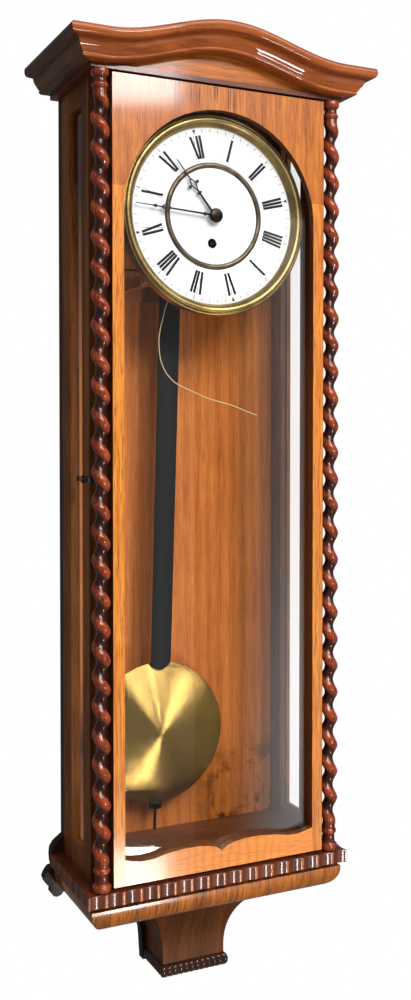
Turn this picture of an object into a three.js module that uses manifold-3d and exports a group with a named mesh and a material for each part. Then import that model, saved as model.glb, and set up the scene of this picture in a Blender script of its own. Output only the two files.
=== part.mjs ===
// Regulator wall clock: a one-weight wall clock in a tall glazed case, with a twist column at each side of
// its door, a serpentine cornice, a fluted base band with a pendant below, and a wooden-rod pendulum.
// Millimetres, +Z up. The wall is the plane y = 0, the clock stands out towards -Y, x = 0 is the case's
// centre line, and z = 0 is the height of the dial's centre.
import * as THREE from 'three';
import { mergeVertices } from 'three/addons/utils/BufferGeometryUtils.js';
import Module from 'manifold-3d';

const wasm = await Module();
wasm.setup();

// Clearances: seat between glued or screwed faces, run between moving ones, slack where wood may swell.
const fit = { seat: 0.1, run: 0.3, slack: 0.6, overrun: 2 };

// Carcase: two glazed sides on a backboard, all standing on the base. Its width and height follow the
// dial and the door, its depth follows the movement, and its floor lies under the pendulum.
const carcase = { back: 10, soffit: 4.2, soffitOverhang: 8.4, floorBoard: 9, pendulumClear: 7.98 };
const sideFrame = {
  thick: 10, frontStile: 19, rearStile: 24, topRail: 21.2, bottomRail: 22.5, lip: 4, rebate: 3, pane: 2,
};

// Scrolled ears of the backboard beside the base, as shares of their reach and drop.
const ear = { above: 17.1, reach: 20.6, drop: 60.1 };
const earShares = [
  [0, 0], [0.43, 0.11], [0.6, 0.2], [0.63, 0.3], [0.61, 0.42], [0.56, 0.49], [0.72, 0.5], [0.9, 0.58],
  [1, 0.66], [0.9, 0.75], [0.72, 0.82], [0.62, 0.85], [0.65, 0.92], [0.52, 0.98], [0.35, 1], [0.15, 0.98],
  [0.02, 0.93],
];
const tailMargin = 5;

// Cornice: one moulding profile, straight along the sides and rising in a serpentine at the front. A
// profile point is a share of the reach out from the case and a share of the height down from the top.
const cornice = { rise: 22.5, height: 23.9, reach: 34, insetFront: 4.5, faceInset: 8.4 };
const frieze = { thick: 12, dust: 5, dustDrop: 2 };
const corniceShares = [
  [0.955, 0], [0.99, 0.06], [1, 0.17], [0.98, 0.3], [0.93, 0.375], [0.8, 0.39], [0.745, 0.42], [0.735, 0.5],
  [0.705, 0.6], [0.645, 0.72], [0.59, 0.83], [0.565, 0.86], [0.58, 0.92], [0.54, 0.985], [0.5, 1],
];

// Base: fluted band, ovolo block, scotia pendant and its reeded bead.
const band = { overhang: 14.45, thick: 12.3, proud: 5.4, fluteDepth: 1.9, fluteCount: 16 };
const ovolo = { setback: 4.6, neckInset: 4, neckDrop: 4.2, radius: 21.4, land: 2 };
const pendant = { halfWidth: 33.2, faceFromWall: 53, flareOut: 44, flareUp: 54, flareDrop: 9.6, neckDrop: 8 };
const bead = { halfWidth: 37, proud: 5, thick: 12.4, reedDepth: 1.1, reedCount: 12, round: 4.6 };

// Door: veneered face pieces with a rebate behind for the pane, and a notch at each side for the columns.
const door = {
  inset: 11.45, backInset: 3, thick: 30.6, gap: 0.4, topGap: 2.3, bottomGap: 2.6, bezelGap: 4.05, stile: 11,
  lip: 8, rebate: 5, archDrop: 3.5, crown: 21.35, shoulder: 17, topRail: 17, bottomRail: 7.5, pane: 2,
};
// The bottom rail's wavy top edge: shares of the half opening, and of the rail's own height.
const rail = { height: 24.5 };
const railShares = [
  [0, 0.71], [0.06, 0.86], [0.13, 0.94], [0.25, 1.01], [0.4, 1.01], [0.57, 0.95], [0.72, 0.83], [0.84, 0.82],
  [0.93, 0.89], [1, 0.97],
];

// Twist columns: a round strand wound round the column's own axis, between a turned foot and cap.
const column = { radius: 8.7, strand: 6.4, pitch: 26.2, setback: 4, endGap: 0.8, foot: 23, cap: 18 };
const columnSides = 7;
const columnStepsPerTurn = 5;
const footShares = [
  [0, 0.93], [0.2, 1], [0.27, 0.84], [0.45, 0.7], [0.66, 0.7], [0.74, 0.84], [0.86, 0.84], [0.92, 0.72],
];
const capShares = [[0.08, 0.72], [0.14, 0.84], [0.3, 0.84], [0.38, 0.7], [0.6, 0.7], [0.68, 0.95], [1, 0.95]];

// Hinges at the door's right edge, and the hook that holds its left edge.
const hinge = {
  leaf: 38, width: 9, thick: 1, knuckle: 2.3, pin: 1.1, boreGap: 0.12, standoff: 2.6, fromEnd: 90,
};
const hook = {
  down: 247, pivotIn: 15, stud: 22, thick: 1.6, arm: 3.4, tail: 13, eye: 3.6, thumb: 2.4, nose: 2.6,
};
const hookScrew = { shank: 1.1, stud: 1.3, head: 2.6, headThick: 1.2, bite: 4 };

// Dial: its depth is behind the door's face, and its standoff is ahead of the movement.
const dial = {
  ringOuter: 84, depth: 19, standoff: 7.5, plate: 1.5, enamel: 2, plateEdge: 6, centreHole: 4.6, windHole: 4.7,
  innerRingIn: 45.2, innerRingWide: 5, innerRingProud: 1.6, footRadius: 2.4, footIn: 14,
};
const bezel = { lap: 1, rim: 4, proud: 7 };

// Hands. Angles are clockwise from upright.
const hand = {
  hourLength: 62.8, minuteShort: 2.5, thick: 0.7, hourFront: 3.3, minuteFront: 5.3, root: 1.3, tip: 0.35,
  hub: 5, nut: 6.8, nutProud: 2, cross: 3.2, ball: 1.5, diamond: 6.5,
};
const handShares = {
  diamondWall: 0.28, crossTall: 0.7, bigBall: 1.3, rootBall: 1.5, stemTip: 2, domeEdge: 0.8, domeRise: 0.7,
};
const hourAngle = 321.5;
const minuteAngle = 274;

// Movement, built up forwards from the pendulum. Insets are from the nearer plate's front face.
const plate = { half: 40, top: 62, bottom: 58, thick: 2, apart: 32, corner: 5 };
const pillar = { radius: 3.2, foot: 4.4, footThick: 3, inset: 7 };
const pivot = { radius: 0.7, hole: 0.95, arbor: 0.95 };
const drum = { left: 1.5, down: 25.5, radius: 15, lip: 2, flangeThick: 1, inset: 4, length: 14 };
const winding = {
  arbor: 3, boreGap: 0.12, square: 1.7, behindDial: 0.4, ratchetRadius: 9.5, ratchetGap: 0.4, ratchetThick: 1.4,
  toothDepth: 1.6, click: 2.4,
};
const greatWheel = { gap: 0.5, thick: 1.8, hub: 5 };
const centreWheel = { inset: 5.6, thick: 1.5, pinionAhead: 1.8, pinionBehind: 2.5, pastDial: 1.6 };
const third = { distance: 18, angle: 133.9, inset: 12, thick: 1.4, pinionAhead: 1.3, pinionBehind: 1.2 };
const escape = {
  distance: 16.8, left: 15, inset: 6, thick: 1.2, pinionAhead: 1.3, pinionBehind: 1.4, radius: 13.5,
};
const anchor = { rise: 19, thick: 2.4, ahead: 0.6, hub: 4, palletGap: 0.9, palletLong: 6 };
const crutch = {
  ahead: 16.6, thick: 1.4, behindPlate: 3.4, width: 4, length: 47, pin: 1.3, pinPast: 1.6, hub: 4,
};
const motion = {
  distance: 14, angle: 45, cannonAhead: 3.4, hourAhead: 2.7, thick: 1.4, pipe: 3.1, cannonPipe: 1.8,
  arbor: 0.7, stud: 1.1,
};
const teeth = {
  great: 54, wheel: 54, pinion: 6, escape: 30, cannon: 10, minute: 30, nut: 8, hour: 32, ratchet: 20,
};
const gearShares = {
  wheelTop: 0.85, wheelRoot: 1.25, tip: 0.24, leafTop: 0.65, leafRootDepth: 1.25, leafTip: 0.12, leafRoot: 0.32,
};
const wheelHub = 3.2;
const wheelShares = { spoke: 0.32, rim: 3.4, escapeRim: 0.7 };
const escapeToothShares = [[1, 0], [0.84, 0.3], [0.82, 0.75]];
// Anchor: angles of its pallets from upright about the escape wheel, and shares of the hub and the pallet.
const palletAngles = { outer: 42, heel: 52, toe: 44, waist: 40 };
const anchorShares = { crown: 2, crownUp: 0.5, waistIn: 0.6, foot: 1.4, footDown: 0.85 };
const minuteBeadShares = [0.758, 0.625, 0.139];
const hourShares = [0.43, 0.565, 0.7];

// Iron bracket that carries the movement, screwed to the backboard.
const bracket = {
  spread: 30, flangeUp: 14, flangeDown: 16, flange: 3, rail: 8, railDrop: 10, ledge: 3, lap: 9, past: 2,
  screw: 3.4, screwLong: 9, ledgeBack: 4,
};
const screwShares = { shank: 0.45, crown: 0.8, edge: 0.4, rise: 0.6 };

// Pendulum: it hangs at the small lean that it is seen at.
const pendulum = {
  clear: 11.9, leanAngle: 1.68, rodWidth: 21.6, rodThick: 3.6, rodTop: 12, rodLap: 6.7, rodForward: 3.4,
  springWidth: 8, springThick: 0.5, stem: 1.5, stemBelow: 22.7, chop: 5, chopLong: 8, chopSlit: 4,
  tangLong: 18, pin: 1.1, pinHalf: 4,
};
const bob = { centre: 551.3, radius: 70, crown: 12, rim: 1.4, bore: 1.9, travel: 4 };
const nut = { radius: 7, thick: 5, knurls: 18, knurlDepth: 0.5 };
const cock = { width: 14, thick: 7, slot: 1.4, rise: 13, wall: 3 };

// Gut line that hangs loose from the drum, as points by hand: x, y and z.
const gut = { radius: 0.55 };
const gutRoute = [
  [-17.5, -77, -27], [-18.3, -76.8, -38], [-22, -76.2, -52], [-29.5, -75.2, -67], [-37.6, -74, -81.8],
  [-41.1, -73.1, -94.9], [-44, -72.3, -107.5], [-44.7, -71.4, -119.1], [-42.8, -70.6, -133.6],
  [-37.7, -69.7, -145.1], [-30.9, -68.9, -152.7], [-24.1, -68, -157.5], [-15.1, -67.1, -161.3],
  [-3.8, -66.3, -165.6], [8.7, -65.4, -170.4], [21.4, -64.6, -173.7], [37.5, -63.7, -177.6],
  [52.8, -62.9, -183], [65.9, -62, -187.1],
];

// Plate that the clock hangs by.
const hanger = { width: 34, height: 46, thick: 2, down: 34.2, hole: 5, slot: 2.6, slotRise: 11, pocket: 5 };

// Depths, as distances from the wall: board, pendulum, crutch, plates and wheels, from the back forwards.
const boardFront = -carcase.back - fit.seat;
const pendulumAt = pendulum.clear + bob.crown - boardFront;
const crutchFront = pendulumAt + crutch.ahead;
const plateBack = crutchFront + crutch.behindPlate + plate.thick;
const plateFront = plateBack + plate.apart;
const drumFront = plateFront - drum.inset;
const drumBack = drumFront - drum.length;
const ratchetFront = drumBack - winding.ratchetGap;
const greatFront = ratchetFront - winding.ratchetThick - greatWheel.gap;
const centreFront = plateBack + centreWheel.inset;
const thirdFront = plateFront - third.inset;
const escapeFront = plateFront - escape.inset;
const anchorFront = escapeFront + anchor.ahead;
const cannonFront = plateFront + motion.cannonAhead;
const hourFront = cannonFront + motion.hourAhead;

// Planes of the dial, door and case, as places in y.
const dialBack = -plateFront - dial.standoff;
const dialFace = dialBack - dial.plate - dial.enamel;
const doorFace = dialFace - dial.depth;
const doorBack = doorFace + door.thick;
const sideFront = doorBack + door.gap;
const corniceFace = doorFace + cornice.faceInset;
const pendantFace = -pendant.faceFromWall;

// Widths, from the dial outwards.
const plateRadius = dial.ringOuter + dial.plateEdge;
const bezelOuter = plateRadius + bezel.rim;
const bezelInner = dial.ringOuter - bezel.lap;
const innerRingOut = dial.innerRingIn + dial.innerRingWide;
const opening = bezelOuter + door.bezelGap;
const doorHalf = opening + door.stile;
const halfCase = doorHalf + door.inset;
const doorBackHalf = halfCase - door.backInset;
const bandHalf = halfCase + band.overhang;
const ovoloHalf = bandHalf - ovolo.setback;
const ovoloFace = doorFace - band.proud + ovolo.setback;
const columnX = doorHalf + column.radius + (column.radius - column.strand) / 2 + fit.run;
const columnY = doorFace + column.setback;
const notchDepth = column.setback + column.radius + fit.slack;

// The train's centres, from the dial's centre.
const thirdAngle = THREE.MathUtils.degToRad(third.angle);
const thirdX = third.distance * Math.cos(thirdAngle);
const thirdZ = third.distance * Math.sin(thirdAngle);
const escapeX = -escape.left;
const escapeZ = thirdZ + Math.sqrt(escape.distance ** 2 - (escapeX - thirdX) ** 2);
const anchorZ = escapeZ + anchor.rise;
const motionX = motion.distance * Math.cos(THREE.MathUtils.degToRad(motion.angle));
const motionZ = motion.distance * Math.sin(THREE.MathUtils.degToRad(motion.angle));
const bracketHalf = plate.half + bracket.spread;
const bracketReach = plateFront + bracket.past;
const [drumX, drumZ] = [-drum.left, -drum.down];
const barrelDistance = Math.hypot(drumX, drumZ);

// The pendulum's lengths below its pivot.
const rodEnd = bob.centre - bob.radius + pendulum.rodLap;
const stemEnd = bob.centre + bob.radius + nut.thick + pendulum.stemBelow;

// Heights, from the dial's centre.
const doorTop = opening - door.archDrop + door.crown;
const caseTop = doorTop + door.topGap;
const caseFloor = anchorZ - stemEnd - carcase.pendulumClear - carcase.floorBoard - fit.seat;
const doorBottom = caseFloor + door.bottomGap;
const soffitTop = caseTop + fit.seat + carcase.soffit;
const corniceTop = soffitTop + fit.seat + cornice.height;
const earTop = caseFloor + ear.above;
const bandBottom = caseFloor - band.thick;
const ovoloTop = bandBottom - ovolo.neckDrop;
const ovoloBottom = ovoloTop - ovolo.land - ovolo.radius;
const neckZ = ovoloBottom - pendant.flareDrop - pendant.flareUp;
const pendantBottom = neckZ - pendant.neckDrop;
const hangerZ = caseTop - hanger.down;
const hookZ = -hook.down;

const minuteLength = dial.ringOuter - hand.minuteShort;

// Finishes.
const finish = (color, roughness, metalness = 0) =>
  new THREE.MeshStandardMaterial({ color, roughness, metalness });
const veneer = finish(0xd08a3e, 0.35);
const darkWood = finish(0x5a3418, 0.45);
const redWood = finish(0x7a3a18, 0.3);
const backWood = finish(0x9a5a2a, 0.5);
const brass = finish(0xb59a4a, 0.3, 1);
const steel = finish(0x3a3f48, 0.35, 1);
const iron = finish(0x1c1d1f, 0.5, 0.6);
const blackWood = finish(0x151617, 0.4);
const enamel = finish(0xf4f3ee, 0.15);
const glass = finish(0xe8f0ee, 0.02);
glass.transparent = true;
glass.opacity = 0.2;
const gutFinish = finish(0xb9a67a, 0.4);

const clock = new THREE.Group();

// Signed volume of an indexed body: negative where its faces point inwards.
function volumeOf(geometry) {
  const at = geometry.attributes.position;
  const [a, b, c] = [new THREE.Vector3(), new THREE.Vector3(), new THREE.Vector3()];
  let sum = 0;
  for (let i = 0; i < geometry.index.count; i += 3) {
    a.fromBufferAttribute(at, geometry.index.getX(i));
    b.fromBufferAttribute(at, geometry.index.getX(i + 1));
    c.fromBufferAttribute(at, geometry.index.getX(i + 2));
    sum += a.dot(b.cross(c)) / 6;
  }
  return sum;
}

// One closed indexed body: shared corners merged, collapsed triangles dropped, faces pointing out.
function weld(geometry) {
  const bare = geometry.clone();
  bare.deleteAttribute('normal');
  bare.deleteAttribute('uv');
  const merged = mergeVertices(bare);
  const kept = [];
  for (let i = 0; i < merged.index.count; i += 3) {
    const corner = [merged.index.getX(i), merged.index.getX(i + 1), merged.index.getX(i + 2)];
    if (new Set(corner).size === 3) kept.push(corner);
  }
  merged.setIndex(kept.flat());
  if (volumeOf(merged) < 0) merged.setIndex(kept.map(([a, b, c]) => [a, c, b]).flat());
  return merged;
}

function toManifold(geometry) {
  const body = weld(geometry);
  const vertProperties = new Float32Array(body.attributes.position.array);
  const triVerts = new Uint32Array(body.index.array);
  return new wasm.Manifold(new wasm.Mesh({ numProp: 3, vertProperties, triVerts }));
}

function fromManifold(body) {
  const mesh = body.getMesh();
  const geometry = new THREE.BufferGeometry();
  geometry.setAttribute('position', new THREE.BufferAttribute(new Float32Array(mesh.vertProperties), 3));
  geometry.setIndex(new THREE.BufferAttribute(new Uint32Array(mesh.triVerts), 1));
  return geometry;
}

const join = (...parts) => fromManifold(parts.map(toManifold).reduce((sum, part) => sum.add(part)));
const cut = (body, ...tools) =>
  fromManifold(tools.map(toManifold).reduce((rest, tool) => rest.subtract(tool), toManifold(body)));

function add(name, geometry, material, parent = clock) {
  const mesh = new THREE.Mesh(weld(geometry), material);
  mesh.name = name;
  parent.add(mesh);
  return mesh;
}

// A box between two limits on each axis.
function block([x0, x1], [y0, y1], [z0, z1]) {
  const box = new THREE.BoxGeometry(x1 - x0, y1 - y0, z1 - z0);
  return box.translate((x0 + x1) / 2, (y0 + y1) / 2, (z0 + z1) / 2);
}

const shapeOf = (points) => new THREE.Shape(points.map(([x, y]) => new THREE.Vector2(x, y)));
const pathOf = (points) => new THREE.Path(points.map(([x, y]) => new THREE.Vector2(x, y)));

// An outline in x and z, given thickness from its back plane towards -Y.
function facing(shape, back, thick, bevel = null) {
  const rounding = bevel ?? { bevelEnabled: false };
  const slab = new THREE.ExtrudeGeometry(shape, { depth: thick, curveSegments: 12, ...rounding });
  return slab.rotateX(Math.PI / 2).translate(0, back, 0);
}

// An outline in x and y, given height upwards from z.
function standing(shape, z, height, bevel = null) {
  const rounding = bevel ?? { bevelEnabled: false };
  const slab = new THREE.ExtrudeGeometry(shape, { depth: height, curveSegments: 12, ...rounding });
  return slab.translate(0, 0, z);
}

// An outline in y and z, given thickness along +X from x.
function sideways(shape, x, thick) {
  const slab = new THREE.ExtrudeGeometry(shape, { depth: thick, bevelEnabled: false, curveSegments: 12 });
  const turn = new THREE.Matrix4().makeBasis(
    new THREE.Vector3(0, 1, 0), new THREE.Vector3(0, 0, 1), new THREE.Vector3(1, 0, 0));
  return slab.applyMatrix4(turn).translate(x, 0, 0);
}

// A body turned about the Y axis from pairs of radius and y.
function turnedY(points, sides = 16) {
  return new THREE.LatheGeometry(points.map(([r, y]) => new THREE.Vector2(r, y)), sides);
}

// The same about the Z axis, from pairs of radius and z.
const turnedZ = (points, sides = 16) => turnedY(points, sides).rotateX(Math.PI / 2);

// A stepped arbor about Y: each step is a radius and where it ends, from the back forward.
function arbor(start, steps, sides = 8) {
  const points = [[0, start]];
  let y = start;
  for (const [radius, end] of steps) {
    points.push([radius, y], [radius, end]);
    y = end;
  }
  points.push([0, y]);
  return turnedY(points, sides);
}

// A closed body through rings of equally many points, capped at both ends.
function loft(rings) {
  const size = rings[0].length;
  const position = rings.flat(2);
  const index = [];
  for (let r = 0; r < rings.length - 1; r += 1) {
    for (let i = 0; i < size; i += 1) {
      const [a, b] = [r * size + i, r * size + ((i + 1) % size)];
      index.push(a, b, b + size, a, b + size, a + size);
    }
  }
  const cap = capOf(rings[0]);
  const last = (rings.length - 1) * size;
  for (const [a, b, c] of cap) index.push(a, c, b, last + a, last + b, last + c);
  const geometry = new THREE.BufferGeometry();
  geometry.setAttribute('position', new THREE.Float32BufferAttribute(position, 3));
  geometry.setIndex(index);
  return geometry;
}

// Triangles that close a flat ring in its own order, found along the axis that it faces most.
function capOf(ring) {
  const normal = new THREE.Vector3();
  ring.forEach((point, i) => {
    const next = new THREE.Vector3(...ring[(i + 1) % ring.length]);
    normal.add(new THREE.Vector3(...point).cross(next));
  });
  const size = normal.toArray().map(Math.abs);
  const [u, v] = [[1, 2], [2, 0], [0, 1]][size.indexOf(Math.max(...size))];
  const flat = ring.map((point) => new THREE.Vector2(point[u], point[v]));
  const turn = Math.sign(THREE.ShapeUtils.area(flat));
  const faces = THREE.ShapeUtils.triangulateShape(flat, []);
  const covered = faces.reduce((sum, face) => sum + THREE.ShapeUtils.area(face.map((i) => flat[i])), 0);
  return covered * turn > 0 ? faces : faces.map(([i, j, k]) => [i, k, j]);
}

// Points of a circle, from an angle to another.
function arc(cx, cy, radius, from, to, steps) {
  const points = [];
  for (let i = 0; i <= steps; i += 1) {
    const angle = from + ((to - from) * i) / steps;
    points.push([cx + radius * Math.cos(angle), cy + radius * Math.sin(angle)]);
  }
  return points;
}

const circle = (x, z, radius, sides) => arc(x, z, radius, 0, (2 * Math.PI * (sides - 1)) / sides, sides - 1);
const disc = (x, z, radius, back, thick, sides = 16) => facing(shapeOf(circle(x, z, radius, sides)), back, thick);

// Half the pendant's width above its neck, growing in a quarter ellipse.
function flareAt(z) {
  const climb = THREE.MathUtils.clamp((z - neckZ) / pendant.flareUp, 0, 1);
  return pendant.flareOut * (1 - Math.sqrt(1 - climb * climb));
}

// Backboard with ears beside the base and a tail behind the pendant.
function backboard() {
  const right = [[halfCase, caseTop], [halfCase, earTop]];
  for (const [out, down] of earShares) right.push([halfCase + out * ear.reach, earTop - down * ear.drop]);
  const steps = 8;
  for (let i = 0; i <= steps; i += 1) {
    const climb = Math.sin((Math.PI / 2) * (1 - i / steps));
    const z = neckZ + pendant.flareUp * climb;
    right.push([pendant.halfWidth + flareAt(z) + tailMargin, z]);
  }
  right.push([bead.halfWidth, pendantBottom - bead.thick]);
  const left = right.map(([x, z]) => [-x, z]).reverse();
  const board = facing(shapeOf([...right, ...left].reverse()), 0, carcase.back);
  add('backboard', cut(board, hangerRecess(), hookPocket()), backWood);
}

function hangerRecess() {
  const half = hanger.width / 2 + fit.seat;
  const tall = hanger.height / 2 + fit.seat;
  return block([-half, half], [-hanger.thick - fit.seat, fit.overrun], [hangerZ - tall, hangerZ + tall]);
}

// Room behind the keyhole for the head of the wall hook.
function hookPocket() {
  const half = hanger.hole + fit.slack;
  return block([-half, half], [-hanger.thick - hanger.pocket, fit.overrun],
    [hangerZ - hanger.slotRise / 2 - half, hangerZ + hanger.slotRise + half]);
}

// Hanger plate let into the board, with a keyhole for the wall hook.
function hangerPlate() {
  const [half, tall] = [hanger.width / 2, hanger.height / 2];
  const body = block([-half, half], [-hanger.thick, 0], [hangerZ - tall, hangerZ + tall]);
  const low = disc(0, hangerZ - hanger.slotRise / 2, hanger.hole, fit.overrun, hanger.thick + 2 * fit.overrun);
  const high = disc(0, hangerZ + hanger.slotRise, hanger.slot, fit.overrun, hanger.thick + 2 * fit.overrun);
  const neck = block([-hanger.slot, hanger.slot], [-hanger.thick - fit.overrun, fit.overrun],
    [hangerZ - hanger.slotRise / 2, hangerZ + hanger.slotRise]);
  add('hanger_plate', cut(body, low, high, neck), iron);
}

// Side of the case: a frame with a window, rebated inside for its pane.
function side(sign, name) {
  const [outer, inner] = [sign * halfCase, sign * (halfCase - sideFrame.thick)];
  const x = [Math.min(outer, inner), Math.max(outer, inner)];
  const low = caseFloor + fit.seat;
  const high = caseTop - fit.seat;
  const windowY = [sideFront + sideFrame.frontStile, boardFront - sideFrame.rearStile];
  const windowZ = [caseFloor + sideFrame.bottomRail, caseTop - sideFrame.topRail];
  const wider = ([a, b], by) => [a - by, b + by];
  const lipEnd = outer - sign * sideFrame.lip;
  const rebateX = [Math.min(lipEnd, inner - sign * fit.overrun), Math.max(lipEnd, inner - sign * fit.overrun)];
  const holes = sign < 0 ? [pivotHole()] : [];
  const body = block(x, [sideFront, boardFront], [low, high]);
  const through = block(wider(x, fit.overrun), windowY, windowZ);
  const rebate = block(rebateX, wider(windowY, sideFrame.rebate), wider(windowZ, sideFrame.rebate));
  add(`${name}_side_frame`, cut(body, through, rebate, ...holes), darkWood);
  const paneX = [lipEnd - sign * fit.seat, lipEnd - sign * (fit.seat + sideFrame.pane)].sort((a, b) => a - b);
  const by = sideFrame.rebate - fit.run;
  add(`${name}_side_pane`, block(paneX, wider(windowY, by), wider(windowZ, by)), glass);
}

// Board under the case's floor, between the sides.
function floorBoard() {
  const half = halfCase - sideFrame.thick - fit.seat;
  const low = caseFloor + fit.seat;
  add('floor_board', block([-half, half], [sideFront, boardFront], [low, low + carcase.floorBoard]), darkWood);
}

// Thin board over the case and door, showing as a straight bead below the cornice.
function soffitBoard() {
  const half = halfCase + carcase.soffitOverhang;
  const front = corniceFace - carcase.soffitOverhang;
  const low = caseTop + fit.seat;
  add('soffit_board', block([-half, half], [front, 0], [low, low + carcase.soffit]), redWood);
}

// Height of the cornice's top edge above the dial at a place across the front.
function corniceTopAt(x) {
  const share = Math.min(Math.abs(x) / halfCase, 1);
  return corniceTop + cornice.rise * Math.cos((Math.PI / 2) * share) ** 2;
}

// The profile as pairs of reach out from the case and drop from the top edge.
function corniceProfile(inner) {
  const outline = corniceShares.map(([out, down]) => [out * cornice.reach, -down * cornice.height]);
  return [[inner, 0], ...outline, [inner, -cornice.height]];
}

function corniceFront() {
  const profile = corniceProfile(cornice.insetFront);
  const mitre = (sign) => profile.map(([p, dz]) => [sign * (halfCase + p), corniceFace - p, corniceTop + dz]);
  const rings = [mitre(-1)];
  const stations = 20;
  for (let i = 0; i <= stations; i += 1) {
    const x = -halfCase + (2 * halfCase * i) / stations;
    rings.push(profile.map(([p, dz]) => [x, corniceFace - p, corniceTopAt(x) + dz]));
  }
  rings.push(mitre(1));
  add('cornice_front', loft(rings), redWood);
}

function corniceReturn(sign, name) {
  const profile = corniceProfile(fit.seat);
  const gap = fit.seat * Math.SQRT2;
  const front = profile.map(([p, dz]) => [sign * (halfCase + p), corniceFace - p + gap, corniceTop + dz]);
  const back = profile.map(([p, dz]) => [sign * (halfCase + p), 0, corniceTop + dz]);
  add(`cornice_return_${name}`, loft([front, back]), redWood);
}

// Flat board seen in the lens between the moulding and the soffit.
function friezeBoard() {
  const half = halfCase - fit.seat;
  const face = corniceFace - cornice.insetFront + fit.seat;
  const low = soffitTop + fit.seat;
  const steps = 24;
  const points = [[half, low], [-half, low]];
  for (let i = 0; i <= steps; i += 1) {
    const x = -half + (2 * half * i) / steps;
    points.push([x, corniceTopAt(x) - fit.overrun]);
  }
  add('frieze_board', facing(shapeOf(points.reverse()), face + frieze.thick, frieze.thick), veneer);
  const top = corniceTop - frieze.dustDrop;
  const front = face + frieze.thick + fit.seat;
  add('dust_board', block([-half, half], [front, 0], [top - frieze.dust, top]), backWood);
}

// One side of a fluted or reeded edge: scoops or rounds between two corners, all but the last point.
function scalloped(from, to, count, depth, hollow) {
  const along = [to[0] - from[0], to[1] - from[1]];
  const length = Math.hypot(...along);
  const inward = [-along[1] / length, along[0] / length];
  const steps = hollow ? 4 : 3;
  const points = [];
  for (let i = 0; i < count * steps; i += 1) {
    const wave = Math.sin((Math.PI * (i % steps)) / steps);
    const inset = depth * (hollow ? wave : 1 - wave);
    const share = i / (count * steps);
    points.push([0, 1].map((k) => from[k] + along[k] * share + inward[k] * inset));
  }
  return points;
}

// Plan of a block with a scalloped front and ends, its back against the board.
function scallopedPoints(half, front, count, depth, hollow) {
  const endCount = Math.round((count * (boardFront - front)) / (2 * half));
  return [
    ...scalloped([-half, boardFront], [-half, front], endCount, depth, hollow),
    ...scalloped([-half, front], [half, front], count, depth, hollow),
    ...scalloped([half, front], [half, boardFront], endCount, depth, hollow),
    [half, boardFront],
  ];
}

function flutedBand() {
  const plan = scallopedPoints(bandHalf, doorFace - band.proud, band.fluteCount, band.fluteDepth, true);
  add('fluted_band', standing(shapeOf(plan), bandBottom + fit.seat, band.thick - fit.seat), redWood);
}

// Ring of a three-sided moulding round the base: half its width, its front and its height.
const baseRing = (half, front, z) =>
  [[-half, boardFront, z], [-half, front, z], [half, front, z], [half, boardFront, z]];

function ovoloBase() {
  const neck = [ovoloHalf - ovolo.neckInset, ovoloFace + ovolo.neckInset];
  const rings = [baseRing(...neck, bandBottom), baseRing(...neck, ovoloTop)];
  rings.push(baseRing(ovoloHalf, ovoloFace, ovoloTop));
  const steps = 8;
  for (let i = 0; i <= steps; i += 1) {
    const angle = (Math.PI / 2) * (i / steps);
    const inset = ovolo.radius * (1 - Math.cos(angle));
    const z = ovoloTop - ovolo.land - ovolo.radius * Math.sin(angle);
    rings.push(baseRing(ovoloHalf - inset, ovoloFace + inset, z));
  }
  add('ovolo_base', loft(rings), veneer);
}

function pendantBlock() {
  const ring = (z) => baseRing(pendant.halfWidth + flareAt(z), pendantFace - flareAt(z), z);
  const rings = [ring(pendantBottom), ring(neckZ)];
  const steps = 10;
  for (let i = 1; i <= steps; i += 1) {
    rings.push(ring(neckZ + pendant.flareUp * Math.sin((Math.PI / 2) * (i / steps))));
  }
  const [half, front] = [pendant.halfWidth + pendant.flareOut, pendantFace - pendant.flareOut];
  rings.push(baseRing(half, front, ovoloBottom - fit.seat));
  add('pendant_block', loft(rings), veneer);
}

// Half-round bead under the pendant, reeded on its front and ends.
function pendantBead() {
  const top = pendantBottom - fit.seat;
  const radius = bead.thick / 2;
  const steps = 3;
  const rings = [];
  for (let i = 0; i <= steps; i += 1) {
    const angle = Math.PI * (i / steps - 0.5);
    const inset = bead.round * (1 - Math.cos(angle));
    const z = top - radius + radius * Math.sin(angle);
    const plan = scallopedPoints(bead.halfWidth - inset, pendantFace - bead.proud + inset, bead.reedCount,
      bead.reedDepth, false);
    rings.push(plan.map(([x, y]) => [x, y, z]));
  }
  add('pendant_bead', loft(rings), redWood);
}

// Half the door's opening at a height: an arch over straight sides.
function openingAt(z) {
  const above = z + door.archDrop;
  return above > 0 ? Math.sqrt(Math.max(opening ** 2 - above ** 2, 0)) : opening;
}

const archStart = () => Math.asin((door.shoulder + door.archDrop) / opening);

// Top of the door: an arched lip in front, and a square rail behind it.
function doorTopPanel() {
  const half = doorHalf;
  const start = archStart();
  const arch = arc(0, -door.archDrop, opening, start, Math.PI - start, 20);
  const corner = [[half, door.shoulder], [half, doorTop], [-half, doorTop], [-half, door.shoulder]];
  const lip = shapeOf([...corner, ...arch.reverse()]);
  const front = facing(lip, doorFace + door.lip, door.lip);
  const rebate = opening + door.rebate;
  const top = doorTop - door.topRail;
  const behind = doorFace + door.lip / 2;
  const back = shapeOf([
    [doorBackHalf, door.shoulder], [doorBackHalf, doorTop], [-doorBackHalf, doorTop],
    [-doorBackHalf, door.shoulder], [-rebate, door.shoulder], [-rebate, top], [rebate, top],
    [rebate, door.shoulder],
  ]);
  const frame = facing(back, doorBack, doorBack - behind);
  const corners = [-1, 1].map((sign) => notchTool(sign, door.shoulder, doorTop));
  add('door_top_panel', cut(join(front, frame), ...corners), veneer);
}

// What is cut from the door's front corner to let a column stand in it.
function notchTool(sign, low, high) {
  const x = [sign * (doorHalf), sign * (halfCase + column.radius)].sort((a, b) => a - b);
  return block(x, [doorFace - fit.overrun, doorFace + notchDepth], [low - fit.overrun, high + fit.overrun]);
}

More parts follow.
